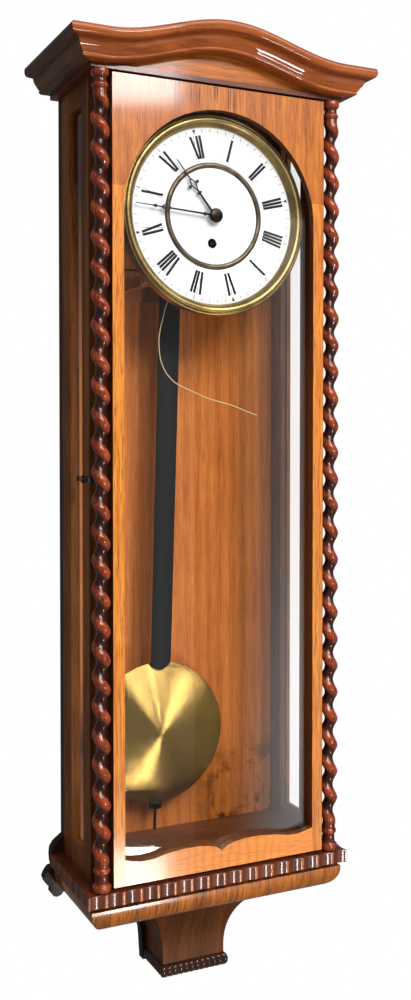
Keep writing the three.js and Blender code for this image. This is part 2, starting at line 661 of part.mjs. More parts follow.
function doorStile(sign, name) {
  const high = door.shoulder - fit.seat;
  const half = doorHalf;
  const straight = -door.archDrop;
  const steps = 4;
  const inner = [[sign * opening, doorBottom], [sign * opening, straight]];
  for (let i = 1; i <= steps; i += 1) {
    const z = straight + ((high - straight) * i) / steps;
    inner.push([sign * openingAt(z), z]);
  }
  const outline = [...inner, [sign * half, high], [sign * half, doorBottom]];
  const lip = facing(shapeOf(sign > 0 ? outline.reverse() : outline), doorFace + door.lip, door.lip);
  const x = [sign * (opening + door.rebate), sign * doorBackHalf].sort((a, b) => a - b);
  const back = block(x, [doorFace + door.lip / 2, doorBack], [doorBottom, high]);
  const body = cut(join(lip, back), notchTool(sign, doorBottom, high));
  add(`door_stile_${name}`, sign < 0 ? cut(body, studHole()) : body, veneer);
}

function doorBottomRail() {
  const reach = opening - fit.seat;
  const right = railShares.map(([out, up]) => [out * reach, doorBottom + up * rail.height]);
  const left = right.slice(1).map(([x, z]) => [-x, z]).reverse();
  const lip = shapeOf([[reach, doorBottom], ...right.reverse(), ...left.reverse(), [-reach, doorBottom]]);
  const front = facing(lip, doorFace + door.lip, door.lip);
  const half = reach + door.rebate;
  const z = [doorBottom, doorBottom + door.bottomRail];
  const back = block([-half, half], [doorFace + door.lip + fit.seat, doorBack], z);
  const tongue = block([-reach, reach], [doorFace + door.lip / 2, doorBack], z);
  add('door_bottom_rail', join(front, back, tongue), veneer);
}

function doorPane() {
  const half = opening + door.rebate - fit.run;
  const y = doorFace + door.lip + fit.seat;
  const z = [doorBottom + door.bottomRail + fit.run, doorTop - door.topRail - fit.run];
  add('door_pane', block([-half, half], [y, y + door.pane], z), glass);
}

// A ring of the column: a circle thrown off its axis at an angle.
function columnRing(z, radius, offset, angle) {
  const [cx, cy] = [offset * Math.cos(angle), offset * Math.sin(angle)];
  const ring = [];
  for (let i = 0; i < columnSides; i += 1) {
    const a = (2 * Math.PI * i) / columnSides;
    ring.push([cx + radius * Math.cos(a), cy + radius * Math.sin(a), z]);
  }
  return ring;
}

// Both columns wind the same way, down to the right in front.
function twistColumn(sign, name) {
  const low = caseFloor + column.endGap;
  const high = caseTop - column.endGap;
  const [twistLow, twistHigh] = [low + column.foot, high - column.cap];
  const offset = column.radius - column.strand;
  const count = Math.round(((twistHigh - twistLow) / column.pitch) * columnStepsPerTurn);
  const rings = footShares.map(([up, out]) => columnRing(low + up * column.foot, out * column.radius, 0, 0));
  for (let i = 0; i <= count; i += 1) {
    const angle = (-2 * Math.PI * i) / columnStepsPerTurn;
    const z = twistLow + ((twistHigh - twistLow) * i) / count;
    const taper = Math.min(1, i / 3, (count - i) / 3);
    rings.push(columnRing(z, column.strand, offset * taper, angle));
  }
  for (const [up, out] of capShares) {
    rings.push(columnRing(twistHigh + up * column.cap, out * column.radius, 0, 0));
  }
  add(`column_${name}`, loft(rings), redWood).position.set(sign * columnX, columnY, 0);
}

const hingePlaces = { lower: doorBottom + hinge.fromEnd, upper: doorTop - hinge.fromEnd };
const hingeX = halfCase + hinge.standoff;
const hingeY = doorBack + door.gap / 2;

// Upright cylinder on the hinge's axis, hollow where it has a bore.
function knuckle(low, high, radius, bore = 0) {
  const points = [[bore, low], [radius, low], [radius, high], [bore, high]];
  if (bore > 0) points.push([bore, low]);
  return turnedZ(points, 8).translate(hingeX, hingeY, 0);
}

// Leaf on the case side, with the outer two knuckles and the pin.
function caseLeaf(z) {
  const half = hinge.leaf / 2;
  const inner = hinge.leaf / 6 + fit.run / 2;
  const edge = halfCase + fit.seat;
  const pieces = [knuckle(z - half, z + half, hinge.pin)];
  for (const [low, high] of [[z - half, z - inner], [z + inner, z + half]]) {
    pieces.push(knuckle(low, high, hinge.knuckle));
    pieces.push(block([edge, hingeX], [hingeY - hinge.thick / 2, hingeY + hinge.thick / 2], [low, high]));
    pieces.push(block([edge, edge + hinge.thick], [hingeY, hingeY + hinge.width], [low, high]));
  }
  return join(...pieces);
}

// Leaf on the door's edge, with the middle knuckle.
function doorLeaf(z) {
  const reach = hinge.leaf / 6 - fit.run / 2;
  const [low, high] = [z - reach, z + reach];
  const bore = hinge.pin + hinge.boreGap;
  const edge = doorBackHalf + fit.seat;
  const back = doorBack + fit.seat;
  const strap = block([edge, hingeX - bore - hinge.thick / 2], [back - hinge.thick, back], [low, high]);
  const leaf = block([edge, edge + hinge.thick], [back - hinge.width, back], [low, high]);
  return join(knuckle(low, high, hinge.knuckle, bore), strap, leaf);
}

function hinges() {
  for (const [name, z] of Object.entries(hingePlaces)) {
    add(`${name}_hinge_case_leaf`, caseLeaf(z), brass);
    add(`${name}_hinge_door_leaf`, doorLeaf(z), brass);
  }
}

// A screw across the case's left side: its shank starts inside the wood and its head stands clear.
function crossScrew(start, end, shank, y, gap = 0) {
  const top = end + hookScrew.headThick;
  const head = gap > 0 ? [[0, end]] : [[hookScrew.head, end], [hookScrew.head, top], [0, top]];
  const points = [[0, start], [shank + gap, start], [shank + gap, end], ...head];
  return turnedY(points, 12).rotateZ(Math.PI / 2).translate(0, y, hookZ);
}

const studY = doorFace + hook.stud;
const hookY = sideFront + hook.pivotIn;
const hookIn = halfCase + fit.run;
const studHole = () =>
  crossScrew(doorBackHalf - hookScrew.bite - fit.seat, halfCase, hookScrew.stud, studY, fit.seat);
const pivotHole = () =>
  crossScrew(halfCase - hookScrew.bite - fit.seat, halfCase + fit.overrun, hookScrew.shank, hookY, fit.seat);

// Flat hook about its pivot: its mouth drops over the stud on the door, and its tail has a thumb piece.
function latchHook() {
  const reach = hookY - studY;
  const [half, mouth] = [hook.arm / 2, hookScrew.stud + fit.run];
  const nose = reach + mouth + hook.nose;
  const points = [
    [-hook.tail, half / 2], [-hook.tail, -half / 2], [0, -half], [reach - mouth, -half], [reach - mouth, mouth],
    [reach + mouth, mouth], [reach + mouth, -2 * half], [nose - half / 2, -2 * half], [nose, -half],
    [nose, mouth], [nose - half, mouth + hook.nose], [reach - mouth - half, mouth + hook.nose],
    [reach - mouth - 3 * half, half], [0, half],
  ];
  const body = sideways(shapeOf(points.map(([u, v]) => [-u, v])), 0, hook.thick);
  const across = (radius, start, end) =>
    turnedY([[0, start], [radius, start], [radius, end], [0, end]], 12).rotateZ(-Math.PI / 2);
  const eye = across(hook.eye, 0, hook.thick);
  const thumb = across(hook.thumb, 0, hook.thick).translate(0, hook.tail, 0);
  const bore = across(hookScrew.shank + hinge.boreGap, -fit.overrun, hook.thick + fit.overrun);
  const mesh = add('latch_hook', cut(join(body, eye, thumb), bore), steel);
  mesh.position.set(-hookIn - hook.thick, hookY, hookZ);
}

function latch() {
  const end = hookIn + hook.thick + fit.run;
  add('hook_stud', crossScrew(doorBackHalf - hookScrew.bite, end, hookScrew.stud, studY), steel);
  add('hook_screw', crossScrew(halfCase - hookScrew.bite, end, hookScrew.shank, hookY), steel);
  latchHook();
}

// A ring about the dial's axis from its inner and outer radius, its back and its front.
const ringAbout = (inner, outer, back, front, sides) =>
  turnedY([[inner, back], [outer, back], [outer, front], [inner, front], [inner, back]], sides);

function dialParts() {
  const depth = dial.plate + dial.enamel + 2 * fit.overrun;
  const tools = [
    disc(drumX, drumZ, dial.windHole, dialBack + fit.overrun, depth, 16),
    disc(0, 0, dial.centreHole, dialBack + fit.overrun, depth, 16),
  ];
  const sheet = disc(0, 0, plateRadius, dialBack, dial.plate - fit.seat, 32);
  add('dial_plate', cut(join(sheet, ...dialFeet()), ...tools), brass);
  const enamelBack = dialFace + dial.enamel;
  const between = (dial.innerRingIn + innerRingOut) / 2;
  add('chapter_ring', ringAbout(between + fit.seat, dial.ringOuter, enamelBack, dialFace, 40), enamel);
  add('dial_centre', cut(disc(0, 0, between - fit.seat, enamelBack, dial.enamel, 40), ...tools), enamel);
  const crest = dialFace - dial.innerRingProud;
  const shoulder = (dialFace + crest) / 2;
  const seat = dialFace - fit.seat;
  const outline = [
    [dial.innerRingIn, seat], [innerRingOut, seat], [innerRingOut, shoulder], [between, crest],
    [dial.innerRingIn, shoulder], [dial.innerRingIn, seat],
  ];
  add('inner_ring', turnedY(outline, 30), brass);
}

// Feet of the dial plate, standing on the movement's front plate.
function dialFeet() {
  const x = plate.half - dial.footIn;
  const [back, front] = [-plateFront - fit.seat, dialBack - dial.plate / 2];
  const foot = turnedY([[0, back], [dial.footRadius, back], [dial.footRadius, front], [0, front]], 10);
  const heights = [plate.top - dial.footIn, dial.footIn - plate.bottom];
  return heights.flatMap((z) => [foot.clone().translate(-x, 0, z), foot.clone().translate(x, 0, z)]);
}

// Bezel section: share of the way in from the outer edge, and share of the way back from the front.
const bezelShares = [[0, 0.3], [0.16, 0.16], [0.24, 0.22], [0.38, 0], [0.58, 0.03], [0.8, 0.4], [1, 0.8]];

function bezelRing() {
  const [seat, rim] = [dial.ringOuter + 4 * fit.seat, plateRadius + 4 * fit.seat];
  const [lip, step] = [dialFace - fit.seat, dialBack - dial.plate - fit.seat];
  const section = bezelShares.map(([across, back]) =>
    [bezelOuter - across * (bezelOuter - bezelInner), dialFace - bezel.proud * (1 - back)]);
  const outline = [
    [rim, dialBack], [bezelOuter, dialBack], ...section, [bezelInner, lip], [seat, lip], [seat, step], [rim, step],
    [rim, dialBack],
  ];
  add('bezel', turnedY(outline, 32), brass);
}

// Outline of a wheel with wedge teeth, one of them at the given angle.
function wheelPoints(count, module, phase) {
  const radius = (module * count) / 2;
  const [tip, root] = [radius + module * gearShares.wheelTop, radius - module * gearShares.wheelRoot];
  const step = (2 * Math.PI) / count;
  const half = (gearShares.tip * step) / 2;
  const points = [];
  for (let i = 0; i < count; i += 1) {
    const middle = phase + i * step;
    for (const [r, a] of [[tip, middle - half], [tip, middle + half], [root, middle + step / 2]]) {
      points.push([r * Math.cos(a), r * Math.sin(a)]);
    }
  }
  return points;
}

// Outline of a pinion with narrow leaves, one of them at the given angle.
function pinionPoints(count, module, phase) {
  const radius = (module * count) / 2;
  const [top, root] = [radius + module * gearShares.leafTop, radius - module * gearShares.leafRootDepth];
  const step = (2 * Math.PI) / count;
  const [narrow, broad] = [(gearShares.leafTip * step) / 2, (gearShares.leafRoot * step) / 2];
  const points = [];
  for (let i = 0; i < count; i += 1) {
    const middle = phase + i * step;
    const leaf = [[root, -broad], [top, -narrow], [top, narrow], [root, broad]];
    for (const [r, a] of leaf.map(([out, turn]) => [out, middle + turn])) points.push([r * Math.cos(a), r * Math.sin(a)]);
  }
  return points;
}

// The openings between a wheel's spokes, the first spoke at angle zero.
function crossings(outer, hub, spokes) {
  const half = hub * wheelShares.spoke;
  const holes = [];
  for (let i = 0; i < spokes; i += 1) {
    const [start, end] = [(2 * Math.PI * i) / spokes, (2 * Math.PI * (i + 1)) / spokes];
    const far = arc(0, 0, outer, start + half / outer, end - half / outer, 4);
    const near = arc(0, 0, hub, end - half / hub, start + half / hub, 2);
    holes.push(pathOf([...far, ...near]));
  }
  return holes;
}

// A spoked wheel whose front face is at the given distance from the wall.
function spoked(points, rim, hub, spokes, front, thick) {
  const shape = shapeOf(points);
  shape.holes.push(...crossings(rim, hub, spokes));
  return facing(shape, -front + thick, thick);
}

const pinion = (count, module, phase, front, back) =>
  facing(shapeOf(pinionPoints(count, module, phase)), -back, front - back);
const moduleOf = (distance, a, b) => (2 * distance) / (a + b);
const rimOf = (count, module) => (module * count) / 2 - module * wheelShares.rim;
const toPinion = (phase, count) => phase + Math.PI + Math.PI / count;
const backPivot = -plateBack + plate.thick;

// Arbor with a pivot in each plate.
const trainArbor = () => arbor(backPivot, [
  [pivot.radius, -plateBack - fit.run], [pivot.arbor, -plateFront + plate.thick + fit.run],
  [pivot.radius, -plateFront],
]);

// Great wheel, loose on the drum's arbor and driven by its click.
function greatWheelPart() {
  const module = moduleOf(barrelDistance, teeth.great, teeth.pinion);
  const phase = Math.atan2(-drumZ, -drumX);
  const points = wheelPoints(teeth.great, module, phase);
  const body = spoked(points, rimOf(teeth.great, module), greatWheel.hub, 5, greatFront, greatWheel.thick);
  const bore = disc(0, 0, winding.arbor + winding.boreGap, -greatFront + 2 * fit.overrun, 4 * fit.overrun, 16);
  const start = winding.ratchetRadius + fit.run;
  const click = block([start, start + 3 * winding.click],
    [-ratchetFront, -greatFront + greatWheel.thick / 2], [-winding.click / 2, winding.click / 2]);
  add('great_wheel', cut(join(body, click), bore), brass).position.set(drumX, 0, drumZ);
}

// Saw-toothed ratchet.
function ratchetPoints() {
  const points = [];
  const step = (2 * Math.PI) / teeth.ratchet;
  for (let i = 0; i < teeth.ratchet; i += 1) {
    const root = winding.ratchetRadius - winding.toothDepth;
    points.push([winding.ratchetRadius * Math.cos(i * step), winding.ratchetRadius * Math.sin(i * step)]);
    points.push([root * Math.cos(i * step + step / 8), root * Math.sin(i * step + step / 8)]);
  }
  return points;
}

// Drum, ratchet and squared winding arbor.
function drumPart() {
  const core = arbor(backPivot, [
    [2 * pivot.radius, -plateBack - fit.run], [greatWheel.hub, -greatFront + greatWheel.thick + fit.run],
    [winding.arbor, -drumBack], [drum.radius + drum.lip, -drumBack - drum.flangeThick],
    [drum.radius, -drumFront + drum.flangeThick], [drum.radius + drum.lip, -drumFront],
    [winding.arbor, -plateFront],
  ], 16);
  const half = winding.square;
  const squareY = [dialFace + winding.behindDial, -plateFront + plate.thick];
  const square = block([-half, half], squareY, [-half, half]);
  const ratchet = facing(shapeOf(ratchetPoints()), -ratchetFront + winding.ratchetThick, winding.ratchetThick);
  add('drum', join(core, square, ratchet), brass).position.set(drumX, 0, drumZ);
}

// Centre wheel, its pinion and the long arbor that carries the hands.
function centreWheelPart() {
  const module = moduleOf(third.distance, teeth.wheel, teeth.pinion);
  const points = wheelPoints(teeth.wheel, module, thirdAngle);
  const wheel = spoked(points, rimOf(teeth.wheel, module), wheelHub, 4, centreFront, centreWheel.thick);
  const great = moduleOf(barrelDistance, teeth.great, teeth.pinion);
  const phase = toPinion(Math.atan2(-drumZ, -drumX), teeth.pinion);
  const leaves = pinion(teeth.pinion, great, phase, greatFront + centreWheel.pinionAhead,
    greatFront - greatWheel.thick - centreWheel.pinionBehind);
  const carrier = arbor(backPivot, [
    [pivot.radius, -plateBack - fit.run], [pivot.arbor, -plateFront + plate.thick + fit.run],
    [motion.arbor, dialFace - centreWheel.pastDial],
  ]);
  add('centre_wheel', join(carrier, wheel, leaves), brass);
}

function thirdWheelPart() {
  const module = moduleOf(escape.distance, teeth.wheel, teeth.pinion);
  const angle = Math.atan2(escapeZ - thirdZ, escapeX - thirdX);
  const points = wheelPoints(teeth.wheel, module, angle);
  const wheel = spoked(points, rimOf(teeth.wheel, module), wheelHub, 4, thirdFront, third.thick);
  const driven = moduleOf(third.distance, teeth.wheel, teeth.pinion);
  const [front, back] = [centreFront + third.pinionAhead, centreFront - centreWheel.thick - third.pinionBehind];
  const leaves = pinion(teeth.pinion, driven, toPinion(thirdAngle, teeth.pinion), front, back);
  add('third_wheel', join(trainArbor(), wheel, leaves), brass).position.set(thirdX, 0, thirdZ);
}

// Escape wheel with slender leaning teeth.
function escapePoints() {
  const points = [];
  const step = (2 * Math.PI) / teeth.escape;
  for (let i = 0; i < teeth.escape; i += 1) {
    for (const [out, lean] of escapeToothShares) {
      const a = (i + lean) * step;
      points.push([escape.radius * out * Math.cos(a), escape.radius * out * Math.sin(a)]);
    }
  }
  return points;
}

function escapeWheelPart() {
  const rim = escape.radius * wheelShares.escapeRim;
  const wheel = spoked(escapePoints(), rim, wheelHub, 4, escapeFront, escape.thick);
  const module = moduleOf(escape.distance, teeth.wheel, teeth.pinion);
  const angle = Math.atan2(escapeZ - thirdZ, escapeX - thirdX);
  const leaves = pinion(teeth.pinion, module, toPinion(angle, teeth.pinion), thirdFront + escape.pinionAhead,
    thirdFront - third.thick - escape.pinionBehind);
  add('escape_wheel', join(trainArbor(), wheel, leaves), brass).position.set(escapeX, 0, escapeZ);
}

// Anchor outline about its own axis, half of it: distance from the escape wheel's centre and angle.
function anchorShape() {
  const polar = ([out, turn]) => {
    const a = THREE.MathUtils.degToRad(turn);
    return [out * Math.sin(a), out * Math.cos(a) - anchor.rise];
  };
  const tip = escape.radius + anchor.palletGap;
  const outer = tip + anchor.palletLong;
  const crown = [anchor.hub * anchorShares.crown, anchor.hub * anchorShares.crownUp];
  const waist = tip + anchor.palletLong * anchorShares.waistIn;
  const angles = palletAngles;
  const arm = [[outer, angles.outer], [outer, angles.heel], [tip, angles.heel], [tip, angles.toe],
    [waist, angles.waist]];
  const foot = [anchor.hub * anchorShares.foot, -anchor.hub * anchorShares.footDown];
  const half = [[0, anchor.hub], crown, ...arm.map(polar), foot];
  const other = half.slice(1).map(([x, z]) => [-x, z]).reverse();
  return shapeOf([...half, ...other]);
}

// Anchor, its arbor and the crutch behind the back plate, about the pendulum's axis.
function anchorPart(parent) {
  const back = -crutchFront + crutch.thick;
  const rod = arbor(back, [
    [pivot.radius, -plateBack - fit.run], [pivot.arbor, -plateFront + plate.thick + fit.run],
    [pivot.radius, -plateFront],
  ]);
  const body = facing(anchorShape(), -anchorFront + anchor.thick, anchor.thick);
  const hub = disc(0, 0, crutch.hub, back, crutch.thick, 12);
  const half = crutch.width / 2;
  const arm = block([-half, half], [-crutchFront, back], [-crutch.length - crutch.pin, 0]);
  const pin = turnedY([[0, -crutchFront], [crutch.pin, -crutchFront], [crutch.pin, crutch.pinPast - pendulumAt],
    [0, crutch.pinPast - pendulumAt]], 10).translate(0, 0, -crutch.length);
  add('anchor', join(rod, body, hub, arm, pin), steel, parent);
}

// Suspension spring with the cross pin that rests on the cock.
function suspensionSpring(parent) {
  const [half, deep] = [pendulum.springThick / 2, pendulum.springWidth / 2];
  const top = cock.rise + fit.slack + pendulum.pin;
  const y = [-pendulumAt - deep, -pendulumAt + deep];
  const strip = block([-half, half], y, [-pendulum.rodTop - pendulum.chopSlit, top]);
  const [r, reach] = [pendulum.pin, pendulum.pinHalf];
  const pin = turnedY([[0, -reach], [r, -reach], [r, reach], [0, reach]], 10)
    .rotateZ(Math.PI / 2).translate(0, -pendulumAt, top);
  add('suspension_spring', join(strip, pin), steel, parent);
}

// Flat rod with a chop for the spring, a slot for the crutch, and the threaded stem below.
function pendulumRod(parent) {
  const half = pendulum.rodWidth / 2;
  const front = -pendulumAt - pendulum.rodForward - pendulum.rodThick / 2;
  const back = front + pendulum.rodThick;
  const end = arc(0, half - rodEnd, half, 0, -Math.PI, 10);
  const outline = shapeOf([[half, -pendulum.rodTop], ...end, [-half, -pendulum.rodTop]].reverse());
  const rod = facing(outline, back, pendulum.rodThick);
  const behind = -pendulumAt + pendulum.stem / 2;
  const chopBack = -pendulumAt + pendulum.springWidth / 2 + pendulum.stem;
  const chop = block([-pendulum.chop, pendulum.chop], [front, chopBack],
    [-pendulum.rodTop - pendulum.chopLong, -pendulum.rodTop]);
  const tangTop = -bob.centre + bob.radius + bob.travel + pendulum.tangLong;
  const tang = block([-pendulum.chop, pendulum.chop], [front + pendulum.rodThick / 2, behind],
    [tangTop - pendulum.tangLong + fit.overrun, tangTop]);
  const stem = turnedZ([[0, -stemEnd], [pendulum.stem, -stemEnd], [pendulum.stem, tangTop],
    [0, tangTop]], 10).translate(0, -pendulumAt, 0);
  const slit = block([-pendulum.springThick / 2 - fit.seat, pendulum.springThick / 2 + fit.seat],
    [-pendulumAt - pendulum.springWidth / 2 - fit.seat, chopBack + fit.overrun],
    [-pendulum.rodTop - pendulum.chopSlit - fit.seat, -pendulum.rodTop + fit.overrun]);
  const slotHalf = crutch.pin + fit.run;
  const slot = block([-slotHalf, slotHalf], [front - fit.overrun, back + fit.overrun],
    [-crutch.length - 3 * slotHalf, -crutch.length + 3 * slotHalf]);
  add('pendulum_rod', cut(join(rod, chop, tang, stem), slit, slot), blackWood, parent);
}

// Lens-shaped bob with a bore for the stem and a recess for the rod's end.
function bobPart(parent) {
  const sphere = (bob.radius ** 2 + (bob.crown - bob.rim) ** 2) / (2 * (bob.crown - bob.rim));
  const steps = 5;
  const face = [];
  for (let i = 0; i <= steps; i += 1) {
    const r = (bob.radius * i) / steps;
    face.push([r, bob.crown - sphere + Math.sqrt(sphere * sphere - r * r)]);
  }
  const outline = [...face.map(([r, h]) => [r, -h]), ...face.reverse()];
  const lens = turnedY(outline, 32).translate(0, -pendulumAt, -bob.centre);
  const reach = 2 * bob.radius;
  const bore = turnedZ([[0, -reach], [bob.bore, -reach], [bob.bore, reach], [0, reach]], 12)
    .translate(0, -pendulumAt, -bob.centre);
  const rodBack = -pendulumAt - pendulum.rodForward + pendulum.rodThick / 2;
  const half = pendulum.rodWidth / 2 + fit.slack;
  const low = -rodEnd - bob.travel - fit.slack;
  const recess = block([-half, half], [rodBack - bob.radius, rodBack + fit.run], [low, -bob.centre + reach]);
  add('bob', cut(lens, bore, recess), brass, parent);
}

// Knurled nut under the bob.
function ratingNut(parent) {
  const points = [];
  for (let i = 0; i < nut.knurls; i += 1) {
    const a = (2 * Math.PI * i) / nut.knurls;
    const r = i % 2 ? nut.radius : nut.radius - nut.knurlDepth;
    points.push([r * Math.cos(a), r * Math.sin(a)]);
  }
  const top = -bob.centre - bob.radius - fit.seat;
  const body = standing(shapeOf(points), top - nut.thick, nut.thick);
  const bore = turnedZ([[0, -nut.radius], [bob.bore, -nut.radius], [bob.bore, nut.radius], [0, nut.radius]], 12)
    .translate(0, 0, top - nut.thick / 2);
  add('rating_nut', cut(body, bore).translate(0, -pendulumAt, 0), brass, parent);
}

function pendulumParts() {
  const group = new THREE.Group();
  group.name = 'pendulum';
  group.position.set(escapeX, 0, anchorZ);
  group.rotation.y = THREE.MathUtils.degToRad(pendulum.leanAngle);
  clock.add(group);
  anchorPart(group);
  suspensionSpring(group);
  pendulumRod(group);
  bobPart(group);
  ratingNut(group);
}

// Cock on the back plate, slotted for the suspension spring.
function suspensionCock() {
  const half = cock.width / 2;
  const front = -plateBack + plate.thick + fit.seat;
  const back = -pendulumAt + pendulum.springWidth / 2 + cock.wall;
  const z = [anchorZ + cock.rise - cock.thick, anchorZ + cock.rise];
  const body = block([escapeX - half, escapeX + half], [front, back], z);
  const slotY = [-pendulumAt - pendulum.springWidth / 2 - fit.slack, back + fit.overrun];
  const slotZ = [z[0] - fit.overrun, z[1] + fit.overrun];
  const slot = block([escapeX - cock.slot, escapeX + cock.slot], slotY, slotZ);
  add('suspension_cock', cut(body, slot), brass);
}

// Plate with clipped corners and a hole for each pivot given as x, z and radius.
function plateBody(front, holes) {
  const [w, c] = [plate.half, plate.corner];
  const [top, low] = [plate.top, -plate.bottom];
  const outline = [
    [w, low + c], [w, top - c], [w - c, top], [c - w, top], [-w, top - c], [-w, low + c], [c - w, low],
    [w - c, low],
  ];
  const shape = shapeOf(outline);
  for (const [x, z, radius] of holes) {
    shape.holes.push(pathOf(circle(x, z, radius, 12)));
  }
  return facing(shape, -front + plate.thick, plate.thick);
}

function movementPlates() {
  const pivots = [[0, 0], [thirdX, thirdZ], [escapeX, escapeZ], [escapeX, anchorZ]]
    .map(([x, z]) => [x, z, pivot.hole]);
  const frontPlate = plateBody(plateFront, [...pivots, [drumX, drumZ, winding.arbor + fit.run]]);
  const stud = turnedY([[0, -plateFront + plate.thick / 2], [motion.stud, -plateFront + plate.thick / 2],
    [motion.stud, -hourFront - fit.run], [0, -hourFront - fit.run]], 10).translate(motionX, 0, motionZ);
  add('front_plate', join(frontPlate, stud), brass);
  const backPlate = plateBody(plateBack, [...pivots, [drumX, drumZ, 2 * pivot.radius + fit.run]]);
  const [x, high, low] = [plate.half - pillar.inset, plate.top - pillar.inset, pillar.inset - plate.bottom];
  const [back, front] = [-plateBack + plate.thick / 2, -plateFront + plate.thick + fit.seat];
  const post = () => turnedY([
    [0, back], [pillar.foot, back], [pillar.foot, -plateBack - pillar.footThick],
    [pillar.radius, -plateBack - pillar.footThick], [pillar.radius, front + pillar.footThick],
    [pillar.foot, front + pillar.footThick], [pillar.foot, front], [0, front],
  ], 6);
  const places = [[-x, low], [x, low], [-x, high], [x, high]];
  add('back_plate', join(backPlate, ...places.map(([px, pz]) => post().translate(px, 0, pz))), brass);
}

// Motion work behind the dial, and the hands on its pipes.
function motionWork() {
  const cannonModule = moduleOf(motion.distance, teeth.cannon, teeth.minute);
  const nutModule = moduleOf(motion.distance, teeth.nut, teeth.hour);
  const angle = THREE.MathUtils.degToRad(motion.angle);
  const cannon = pinion(teeth.cannon, cannonModule, toPinion(angle + Math.PI, teeth.cannon), cannonFront,
    cannonFront - motion.thick);
  const minuteBack = -dialFace + hand.minuteFront - hand.thick - fit.seat;
  const pipe = arbor(-cannonFront + motion.thick, [[motion.cannonPipe, -minuteBack]]);
  const bore = arbor(-plateFront, [[motion.arbor + fit.run, dialFace - centreWheel.pastDial - fit.slack]]);
  add('cannon_pinion', cut(join(cannon, pipe), bore), brass);
  minuteWheelPart(cannonModule, nutModule, angle);
  hourWheelPart(nutModule, angle);
}

function minuteWheelPart(cannonModule, nutModule, angle) {
  const thick = motion.thick;
  const points = wheelPoints(teeth.minute, cannonModule, angle + Math.PI);
  const wheel = facing(shapeOf(points), -cannonFront + thick, thick);
  const leaves = pinion(teeth.nut, nutModule, toPinion(angle, teeth.nut), hourFront, cannonFront - thick / 2);
  const bore = disc(0, 0, motion.stud + fit.run, -plateFront, hourFront - plateFront + fit.overrun, 12);
  add('minute_wheel', cut(join(wheel, leaves), bore), brass).position.set(motionX, 0, motionZ);
}

function hourWheelPart(module, angle) {
  const thick = motion.thick;
  const wheel = facing(shapeOf(wheelPoints(teeth.hour, module, angle)), -hourFront + thick, thick);
  const hourBack = dialFace - hand.hourFront + hand.thick + fit.seat;
  const pipe = arbor(-hourFront + thick, [[motion.pipe, hourBack]]);
  const bore = arbor(-hourFront + 2 * fit.overrun, [[motion.cannonPipe + fit.run, hourBack - fit.overrun]]);
  add('hour_wheel', cut(join(wheel, pipe), bore), brass);
}

// A round bead of a hand, flat like the hand itself.
const handBead = (r, at, thick, sides = 10) => disc(0, at, r, 0, thick, sides);

// A tapered blade with its ornaments, upright, its back at y = 0.
function blade(length, from, ornaments) {
  const outline = shapeOf([[hand.root, from], [hand.tip, length], [-hand.tip, length], [-hand.root, from]]);
  return [facing(outline, 0, hand.thick), ...ornaments];
}

function minuteHand() {
  const t = hand.thick;
  const tall = hand.cross * handShares.crossTall;
  const cross = (at) => [
    facing(shapeOf([[hand.cross, at], [0, at + tall], [-hand.cross, at], [0, at - tall]]), 0, t),
    handBead(hand.ball, at + hand.cross, t), handBead(hand.ball, at - hand.cross, t),
  ];
  const ornaments = [
    handBead(hand.ball * handShares.bigBall, minuteBeadShares[0] * minuteLength, t),
    ...cross(minuteBeadShares[1] * minuteLength),
    handBead(hand.ball * handShares.rootBall, minuteBeadShares[2] * minuteLength, t),
  ];
  const body = join(...blade(minuteLength, 0, ornaments), disc(0, 0, hand.nut * handShares.domeEdge, 0, t, 16));
  const mesh = add('minute_hand', body, steel);
  mesh.position.y = dialFace - hand.minuteFront + t;
  mesh.rotation.y = THREE.MathUtils.degToRad(minuteAngle);
}

// The hour hand opens into a diamond loop with a ball at each side.
function hourHand() {
  const t = hand.thick;
  const [low, middle, high] = hourShares.map((share) => share * hand.hourLength);
  const w = hand.diamond;
  const diamond = shapeOf([[0, low], [w, middle], [0, high], [-w, middle]]);
  const inner = 1 - handShares.diamondWall;
  const shift = (z) => middle + (z - middle) * inner;
  diamond.holes.push(pathOf([[0, shift(low)], [w * inner, middle], [0, shift(high)], [-w * inner, middle]]));
  const side = (sign) => disc(sign * w, middle, hand.ball * handShares.bigBall, 0, t, 10);
  const waist = hand.tip * handShares.stemTip;
  const taper = (wide, from, narrow, to) =>
    facing(shapeOf([[wide, from], [narrow, to], [-narrow, to], [-wide, from]]), 0, t);
  const stem = taper(hand.root, 0, waist, low + hand.ball);
  const point = taper(waist, high - hand.ball, hand.tip, hand.hourLength);
  const body = join(facing(diamond, 0, t), side(1), side(-1), stem, point, disc(0, 0, hand.hub, 0, t, 16));
  const bore = disc(0, 0, motion.cannonPipe + fit.run, fit.overrun, t + 2 * fit.overrun, 16);
  const mesh = add('hour_hand', cut(body, bore), steel);
  mesh.position.y = dialFace - hand.hourFront + t;
  mesh.rotation.y = THREE.MathUtils.degToRad(hourAngle);
}

// Domed nut that holds the minute hand.
function handNut() {
  const base = dialFace - hand.minuteFront - fit.seat;
  const edge = [hand.nut * handShares.domeEdge, base - hand.nutProud * handShares.domeRise];
  const dome = turnedY([[0, base], [hand.nut, base], edge, [0, base - hand.nutProud]], 16);
  add('hand_nut', dome, brass);
}

